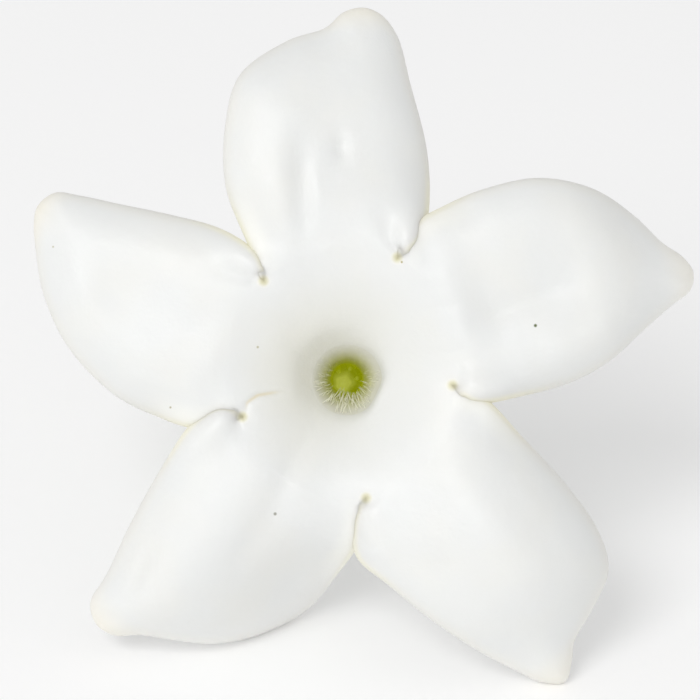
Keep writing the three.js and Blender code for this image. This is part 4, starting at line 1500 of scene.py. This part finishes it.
@dataclass(frozen=True)
class Cloud:
    """A cloudy pattern: its patches' size in millimetres, how fine it is, and how each axis shrinks it."""

    size: float
    detail: float = 2.0
    stretch: Triple = (1, 1, 1)

    def socket(self, tree: bpy.types.NodeTree) -> Socket:
        """Adds the pattern to a tree.

        Args:
            tree: The tree.

        Returns:
            The pattern, from 0 to 1.
        """
        spread = add_node(tree, "ShaderNodeMapping", {"Vector": flower_place(tree), "Scale": self.stretch})
        settings = {"Vector": spread.outputs[0], "Scale": 1 / self.size, "Detail": self.detail}
        return add_node(tree, "ShaderNodeTexNoise", settings).outputs["Fac"]


@dataclass(frozen=True)
class Patches:
    """A colour laid over a finish in patches: the pattern, the ends it rises between, and its full share."""

    cloud: Cloud
    ends: Pair
    share: float
    colour: str
    curve: Curve = Curve.EASY

    def over(self, tree: bpy.types.NodeTree, colour: Socket | Colour) -> Socket:
        """Returns a colour with the patches laid over it."""
        amount = times(tree, ramp(tree, self.cloud.socket(tree), self.ends, self.curve), self.share)
        return blend(tree, amount, colour, self.colour)


@dataclass(frozen=True)
class Tint:
    """A colour laid over part of the petals.

    It lies where each of the named marks has gone from its first end to its second. The mark itself is the
    amount where its two ends are left out. A power gathers the tint where it is strongest.
    """

    colour: str
    share: float
    marks: tuple[tuple[str, Pair | None], ...]
    side: Side = Side.BOTH
    power: float = 1.0

    def amount(self, tree: bpy.types.NodeTree, front: Socket) -> Socket:
        """Works out how much of the tint there is.

        Args:
            tree: The material's nodes.
            front: 1 on the flower's face and 0 behind it.

        Returns:
            The amount, from 0 to its share.
        """
        parts = [ramp(tree, mark(tree, name), ends) if ends else mark(tree, name)
                 for name, ends in self.marks]
        whole = times(tree, *parts)
        if self.power != 1:
            whole = math_node(tree, "POWER", whole, self.power)
        sides = {Side.BOTH: [], Side.FRONT: [front], Side.BACK: [minus(tree, 1.0, front)]}
        return times(tree, whole, self.share, *sides[self.side])


@dataclass(frozen=True)
class Soft:
    """How light sinks into a soft tissue: how much of it, how far in millimetres, and how far each colour."""

    share: float
    depth: float
    reach: Triple = (0.86, 0.88, 0.86)


@dataclass(frozen=True)
class Finish:
    """A plant surface: its name, colour, gloss and softness, the patches on it, and its fine relief."""

    name: str
    colour: str
    roughness: float
    soft: Soft
    patches: tuple[Patches, ...] = ()
    relief: Cloud | None = None
    relief_deep: float = 0.0
    ior: float = 1.4

    def build(self) -> bpy.types.Material:
        """Returns the material."""
        material = bpy.data.materials.new(self.name)
        material.use_nodes = True
        tree = material.node_tree
        shader = tree.nodes["Principled BSDF"]
        plain = {"Base Color": linear(self.colour), "Roughness": self.roughness, "IOR": self.ior,
                 "Subsurface Weight": self.soft.share, "Subsurface Radius": self.soft.reach,
                 "Subsurface Scale": self.soft.depth * MM}
        for name, value in plain.items():
            shader.inputs[name].default_value = value
        colour = plain["Base Color"]
        for patches in self.patches:
            colour = patches.over(tree, colour)
        self.own_nodes(tree, shader, colour)
        if self.relief:
            raised(tree, shader, self.relief.socket(tree), self.relief_deep)
        return material

    def own_nodes(self, tree: bpy.types.NodeTree, shader: bpy.types.Node, colour: Socket | Colour) -> None:
        """Adds what only this finish has, and links the colour.

        Args:
            tree: The material's nodes.
            shader: The surface shader.
            colour: The colour so far, with its patches.
        """
        if isinstance(colour, Socket):
            tree.links.new(colour, shader.inputs["Base Color"])


@dataclass(frozen=True)
class Speck:
    """A small dark speck on the petals: its x and y in the flower's frame, its radius and its colour."""

    at: Pair
    radius: float
    colour: str

    def over(self, tree: bpy.types.NodeTree, colour: Socket, flat: Socket, front: Socket) -> Socket:
        """Lays the speck over a colour.

        Args:
            tree: The material's nodes.
            colour: The colour without it.
            flat: The place in the flower's frame, with z left at 0.
            front: 1 on the flower's face and 0 behind it.

        Returns:
            The colour with it.
        """
        ends = {0: flat, 1: (*self.at, 0.0)}
        gap = add_node(tree, "ShaderNodeVectorMath", ends, operation="DISTANCE").outputs["Value"]
        spot = times(tree, ramp(tree, gap, (self.radius, self.radius / 3)), front)
        return blend(tree, spot, colour, self.colour)


CREAM = "#EFE9D8"
BLACK = (0.0, 0.0, 0.0, 1.0)
# the line where one lobe touches the next, which carries painted shade and a painted glow
CONTACT_SHADE_AND_GLOW = (("notch", (8.0, 4.0)), ("edge", (0.5, 0.1)))


@dataclass(frozen=True)
class PetalFinish(Finish):
    """Fresh petal: thick white tissue under a thin wax, satin, with a painted glow in its crevices, pits,
    contact lines and tube.
    """

    name: str = "waxy_petal"
    colour: str = "#E4E5E4"
    roughness: float = 0.42
    soft: Soft = Soft(0.45, 1.1)
    patches: tuple[Patches, ...] = (Patches(Cloud(5.0), (0.35, 0.75), 0.1, CREAM),)
    face_ends: Pair = (0.3, 0.7)
    tints: tuple[Tint, ...] = (
        Tint(CREAM, 0.6, (("out", (0.82, 1.0)),)),  # the lobes' tips
        Tint(CREAM, 0.2, (("edge", (0.9, 0.0)),)),  # their rims
        # painted shade along the line where a lobe touches the next
        Tint("#D9D6BE", 0.4, CONTACT_SHADE_AND_GLOW),  # the line where a lobe touches the next
        # painted shade round the mouth, grey-beige and wider on the upper-left side
        Tint("#DDDCD2", 1.0, (("halo", None),), Side.FRONT),  # the shade round the mouth
        # the throat's yellow-green, darkening with depth as painted shade
        Tint("#CBCB8E", 1.0, (("depth", (3.4, 6.2)), ("mouth", (4.0, 3.0))), Side.FRONT),  # the throat
        # the tube's olive: partly its own green, partly painted shade deep in the tube and on its upper side
        Tint("#7F8408", 1.0, (("green", None),), Side.FRONT),  # the tube's inside
        # a yellowish tone in the notch pits, made darker as painted shade in the recess
        Tint("#C2BE9C", 0.8, (("notch", (0.5, 0.1)),), Side.FRONT),  # the pits at the notches
        # painted shade along the step in from a notch, with a yellow-brown tone
        Tint("#DFCD9C", 0.5, (("stain", None),), Side.FRONT, 4.0),  # the one brownish fold
        Tint("#DDE3BE", 1.0, (("depth", (18.0, 27.0)),), Side.BACK),  # the tube's foot
    )
    # the painted glow's colour, and below it where the painted glow lies: under the corners, in the notch
    # pits and along the contact lines
    through: str = "#A6A17C"
    lit: tuple[Tint, ...] = (
        Tint(through, 0.22, (("tucked", None), ("edge", (2.0, 0.6))), Side.FRONT),
        Tint(through, 0.32, (("notch", (0.6, 0.2)),), Side.FRONT),
        Tint(through, 0.32, CONTACT_SHADE_AND_GLOW, Side.FRONT),
    )
    # painted glow of the tube's olive inside
    painted_throat_glow: Tint = Tint("#7F8406", 1.0, (("green", None),), Side.FRONT)
    lit_strength: float = 0.75
    gloss: Cloud = Cloud(1.6)
    gloss_range: Pair = (0.36, 0.5)
    tube: Pair = (2.0, 8.0)
    tube_soft: Soft = Soft(1.0, 3.0)
    cells: Cloud = Cloud(0.28, 1.0)
    cells_share: float = 0.25
    swells: Cloud = Cloud(1.8)
    swells_deep: float = 0.05
    specks: tuple[Speck, ...] = (
        Speck((13.1, 3.8), 0.16, "#5F6B40"), Speck((-5.0, -9.3), 0.16, "#A3A399"),
        Speck((-12.3, -1.9), 0.11, "#B3AE98"), Speck((-6.2, 2.3), 0.12, "#C0BBA2"),
        Speck((-20.5, 9.3), 0.1, "#C6C2AE"), Speck((3.8, 8.2), 0.11, "#B0A87E"),
    )

    def own_nodes(self, tree: bpy.types.NodeTree, shader: bpy.types.Node, colour: Socket | Colour) -> None:
        """Adds the tints, some of them painted shade, the specks, the painted glow, the gloss, the tube's
        softness and cells.

        Args:
            tree: The material's nodes.
            shader: The surface shader.
            colour: The colour so far, with its patches.
        """
        front = ramp(tree, mark(tree, "side"), self.face_ends)
        for tint in self.tints:
            colour = blend(tree, tint.amount(tree, front), colour, tint.colour)
        place = {0: flower_place(tree), 1: (1.0, 1.0, 0.0)}
        flat = add_node(tree, "ShaderNodeVectorMath", place, operation="MULTIPLY").outputs[0]
        for speck in self.specks:
            colour = speck.over(tree, colour, flat, front)
        tree.links.new(colour, shader.inputs["Base Color"])
        strongest = 0.0
        for tint in self.lit:
            strongest = math_node(tree, "MAXIMUM", strongest, tint.amount(tree, front))
        # painted glow: emission in the crevices, the pits, the contact lines and the tube
        light = blend(tree, strongest, BLACK, self.through)
        light = blend(tree, self.painted_throat_glow.amount(tree, front), light, self.painted_throat_glow.colour)
        tree.links.new(light, shader.inputs["Emission Color"])
        shader.inputs["Emission Strength"].default_value = self.lit_strength
        tube = ramp(tree, mark(tree, "depth"), self.tube)
        soft, deep = self.soft, self.tube_soft
        for name, socket in (
            ("Roughness", between(tree, self.gloss.socket(tree), *self.gloss_range)),
            ("Subsurface Weight", between(tree, tube, soft.share, deep.share)),
            ("Subsurface Scale", between(tree, tube, soft.depth * MM, deep.depth * MM)),
        ):
            tree.links.new(socket, shader.inputs[name])
        cells = times(tree, self.cells.socket(tree), self.cells_share)
        raised(tree, shader, plus(tree, cells, self.swells.socket(tree)), self.swells_deep)


@dataclass(frozen=True)
class HairFinish(Finish):
    """Plant hair: a single row of clear cells, so it looks white and a little glassy."""

    name: str = "throat_hair"
    colour: str = "#E4E2D2"
    roughness: float = 0.4
    soft: Soft = Soft(0.3, 0.2)
    patches: tuple[Patches, ...] = (Patches(Cloud(0.8), (0.0, 1.0), 0.3, "#D9DFA8", Curve.STRAIGHT),)


@dataclass(frozen=True)
class ColumnFinish(Finish):
    """Fused anther column: smooth, moist, yellow-green tissue, with a painted glow that is brighter towards
    its top.
    """

    name: str = "column_tissue"
    colour: str = "#C6CB78"
    roughness: float = 0.38
    soft: Soft = Soft(0.4, 0.8)
    patches: tuple[Patches, ...] = (Patches(Cloud(0.7), (0.4, 0.7), 1.0, "#B7BE5A"),)
    relief: Cloud = Cloud(0.25)
    relief_deep: float = 0.03
    # painted light: a glow that goes from the shade colour to the shine colour between the heights called lit
    shade: str = "#6E7300"
    shine: str = "#B2B552"
    lit: Pair = (-21.4, -19.2)
    lit_strength: float = 0.54

    def own_nodes(self, tree: bpy.types.NodeTree, shader: bpy.types.Node, colour: Socket | Colour) -> None:
        """Links the colour, and adds the painted glow, dark low down and bright towards the top.

        Args:
            tree: The material's nodes.
            shader: The surface shader.
            colour: The colour so far, with its patches.
        """
        tree.links.new(colour, shader.inputs["Base Color"])
        # painted light, brighter higher up the column
        light = blend(tree, ramp(tree, flower_height(tree), self.lit), linear(self.shade), self.shine)
        tree.links.new(light, shader.inputs["Emission Color"])
        shader.inputs["Emission Strength"].default_value = self.lit_strength


@dataclass(frozen=True)
class AntherFinish(ColumnFinish):
    """Anther scale: thin tissue, paler than the column that it leans on."""

    name: str = "anther_scale"
    colour: str = "#D8DC8A"
    roughness: float = 0.42
    soft: Soft = Soft(0.5, 0.6)
    # the heights between which the scales' painted glow brightens
    lit: Pair = (-19.5, -17.0)


LEAFY = Soft(0.3, 0.5, (0.7, 1.0, 0.3))


@dataclass(frozen=True)
class SepalFinish(Finish):
    """Sepal: leafy green tissue with faint lengthwise veins, satin."""

    name: str = "sepal_green"
    colour: str = "#8FA85E"
    roughness: float = 0.5
    soft: Soft = LEAFY
    patches: tuple[Patches, ...] = (
        Patches(Cloud(1.4, 3.0), (0.35, 0.7), 1.0, "#748F45"),
        Patches(Cloud(0.35, 2.0, (1, 1, 0.12)), (0.5, 0.7), 0.4, "#B3C283"),
    )
    relief: Cloud = Cloud(0.35, 2.0, (1, 1, 0.12))
    relief_deep: float = 0.06


@dataclass(frozen=True)
class StalkFinish(Finish):
    """Young flower stalk: smooth green skin with fine lengthwise ribs, and a paler cut end."""

    name: str = "stalk_green"
    colour: str = "#87A257"
    roughness: float = 0.48
    soft: Soft = LEAFY
    patches: tuple[Patches, ...] = (
        Patches(Cloud(0.3, 2.0, (1, 1, 0.08)), (0.4, 0.65), 1.0, "#6E8B43"),
        Patches(Cloud(2.5), (0.5, 0.75), 0.5, "#A3B673"),
    )
    relief: Cloud = Cloud(0.3, 2.0, (1, 1, 0.08))
    relief_deep: float = 0.07
    cut: str = "#C4CFA0"
    cut_ends: Pair = (-43.7, -43.85)

    def own_nodes(self, tree: bpy.types.NodeTree, shader: bpy.types.Node, colour: Socket | Colour) -> None:
        """Adds the cut end's paler colour, and links the colour.

        Args:
            tree: The material's nodes.
            shader: The surface shader.
            colour: The colour so far, with its patches.
        """
        colour = blend(tree, ramp(tree, flower_height(tree), self.cut_ends), colour, self.cut)
        tree.links.new(colour, shader.inputs["Base Color"])


@dataclass(frozen=True)
class FloorFinish(Finish):
    """Opal acrylic panel, softly lit from behind: plain, pale and satin, so it takes only a faint shadow."""

    name: str = "opal_acrylic"
    colour: str = "#F2F2F2"
    roughness: float = 0.8
    soft: Soft = Soft(0.0, 1.0)
    lit_strength: float = 0.14
    grain: float = 900.0
    grain_deep: float = 0.01

    def own_nodes(self, tree: bpy.types.NodeTree, shader: bpy.types.Node, colour: Socket | Colour) -> None:
        """Adds the fine grain and the light from behind.

        Args:
            tree: The material's nodes.
            shader: The surface shader.
            colour: The plain colour.
        """
        place = add_node(tree, "ShaderNodeTexCoord").outputs["Object"]
        grain = add_node(tree, "ShaderNodeTexNoise", {"Vector": place, "Scale": self.grain}).outputs["Fac"]
        raised(tree, shader, grain, self.grain_deep)
        shader.inputs["Emission Color"].default_value = colour
        shader.inputs["Emission Strength"].default_value = self.lit_strength


# ---------------------------------------------------------------- the studio


class Lamp(Enum):
    """The studio's lights: where each stands along the flower's axes, how wide it is, and its power."""

    KEY = ((-0.448, 0.403, 1.352), 0.6, 9.0)
    FRONT = ((0.0, 0.0, 0.8), 0.03, 0.5)


@dataclass
class Studio:
    """A pale floor, soft light, and a camera that looks straight into the flower."""

    distance: float = 0.3
    view_width: float = 48.6
    centre: Pair = (0.21, 2.1)
    sensor: float = 36.0
    clip_start: float = 0.01
    daylight: float = 0.61
    floor_size: float = 1.6

    def aim(self, at: Triple) -> Matrix:
        """Poses something that stands at a place and looks at the flower's middle.

        Args:
            at: Its place from the middle, along the flower's own axes, in metres.

        Returns:
            The pose, as a matrix.
        """
        turn = LIE.turn()
        spot = LIE.matrix() @ Vector((*self.centre, 0.0))
        place = spot + Vector((turn @ np.array(at)).tolist())
        out = (place - spot).normalized()
        up = Vector(turn[:, 1].tolist())
        right = up.cross(out).normalized()
        pose = Matrix((right, out.cross(right), out)).transposed().to_4x4()
        pose.translation = place
        return pose

    def build(self) -> None:
        """Makes the camera, the lights and the floor."""
        scene = bpy.context.scene
        lens = bpy.data.cameras.new("camera")
        lens.sensor_width = self.sensor
        lens.lens = self.sensor * self.distance / (self.view_width * MM)
        lens.clip_start = self.clip_start
        scene.camera = bpy.data.objects.new("camera", lens)
        scene.camera.matrix_world = self.aim((0.0, 0.0, self.distance))
        scene.collection.objects.link(scene.camera)
        for lamp in Lamp:
            at, width, power = lamp.value
            light = bpy.data.lights.new(lamp.name.lower(), "AREA")
            light.size, light.energy = width, power
            holder = bpy.data.objects.new(light.name, light)
            holder.matrix_world = self.aim(at)
            scene.collection.objects.link(holder)
        world = bpy.data.worlds.new("daylight")
        world.use_nodes = True
        sky = world.node_tree.nodes["Background"]
        sky.inputs["Color"].default_value = (1, 1, 1, 1)
        sky.inputs["Strength"].default_value = self.daylight
        scene.world = world
        scene.view_settings.view_transform = "Standard"
        self.floor()

    def floor(self) -> None:
        """Makes the floor that the blossom lies on."""
        half = self.floor_size / 2
        corners = [(-half, -half, 0), (half, -half, 0), (half, half, 0), (-half, half, 0)]
        mesh = bpy.data.meshes.new("floor")
        mesh.from_pydata(corners, [], [(0, 1, 2, 3)])
        mesh.materials.append(FloorFinish().build())
        floor = bpy.data.objects.new("floor", mesh)
        bpy.context.scene.collection.objects.link(floor)


# ---------------------------------------------------------------- the whole blossom


def main() -> None:
    """Builds every piece in order and reports each."""
    logging.basicConfig(level=logging.INFO, format="%(message)s")
    Studio().build()
    corolla = Corolla()
    pieces = [corolla.build(), ThroatHairs().build(), *Gynostegium().build(), *Calyx(corolla).build(),
              Pedicel().build()]
    for piece in pieces:
        log.info("%s: %d faces", piece.name, len(piece.data.polygons))


if __name__ == "__main__":
    main()
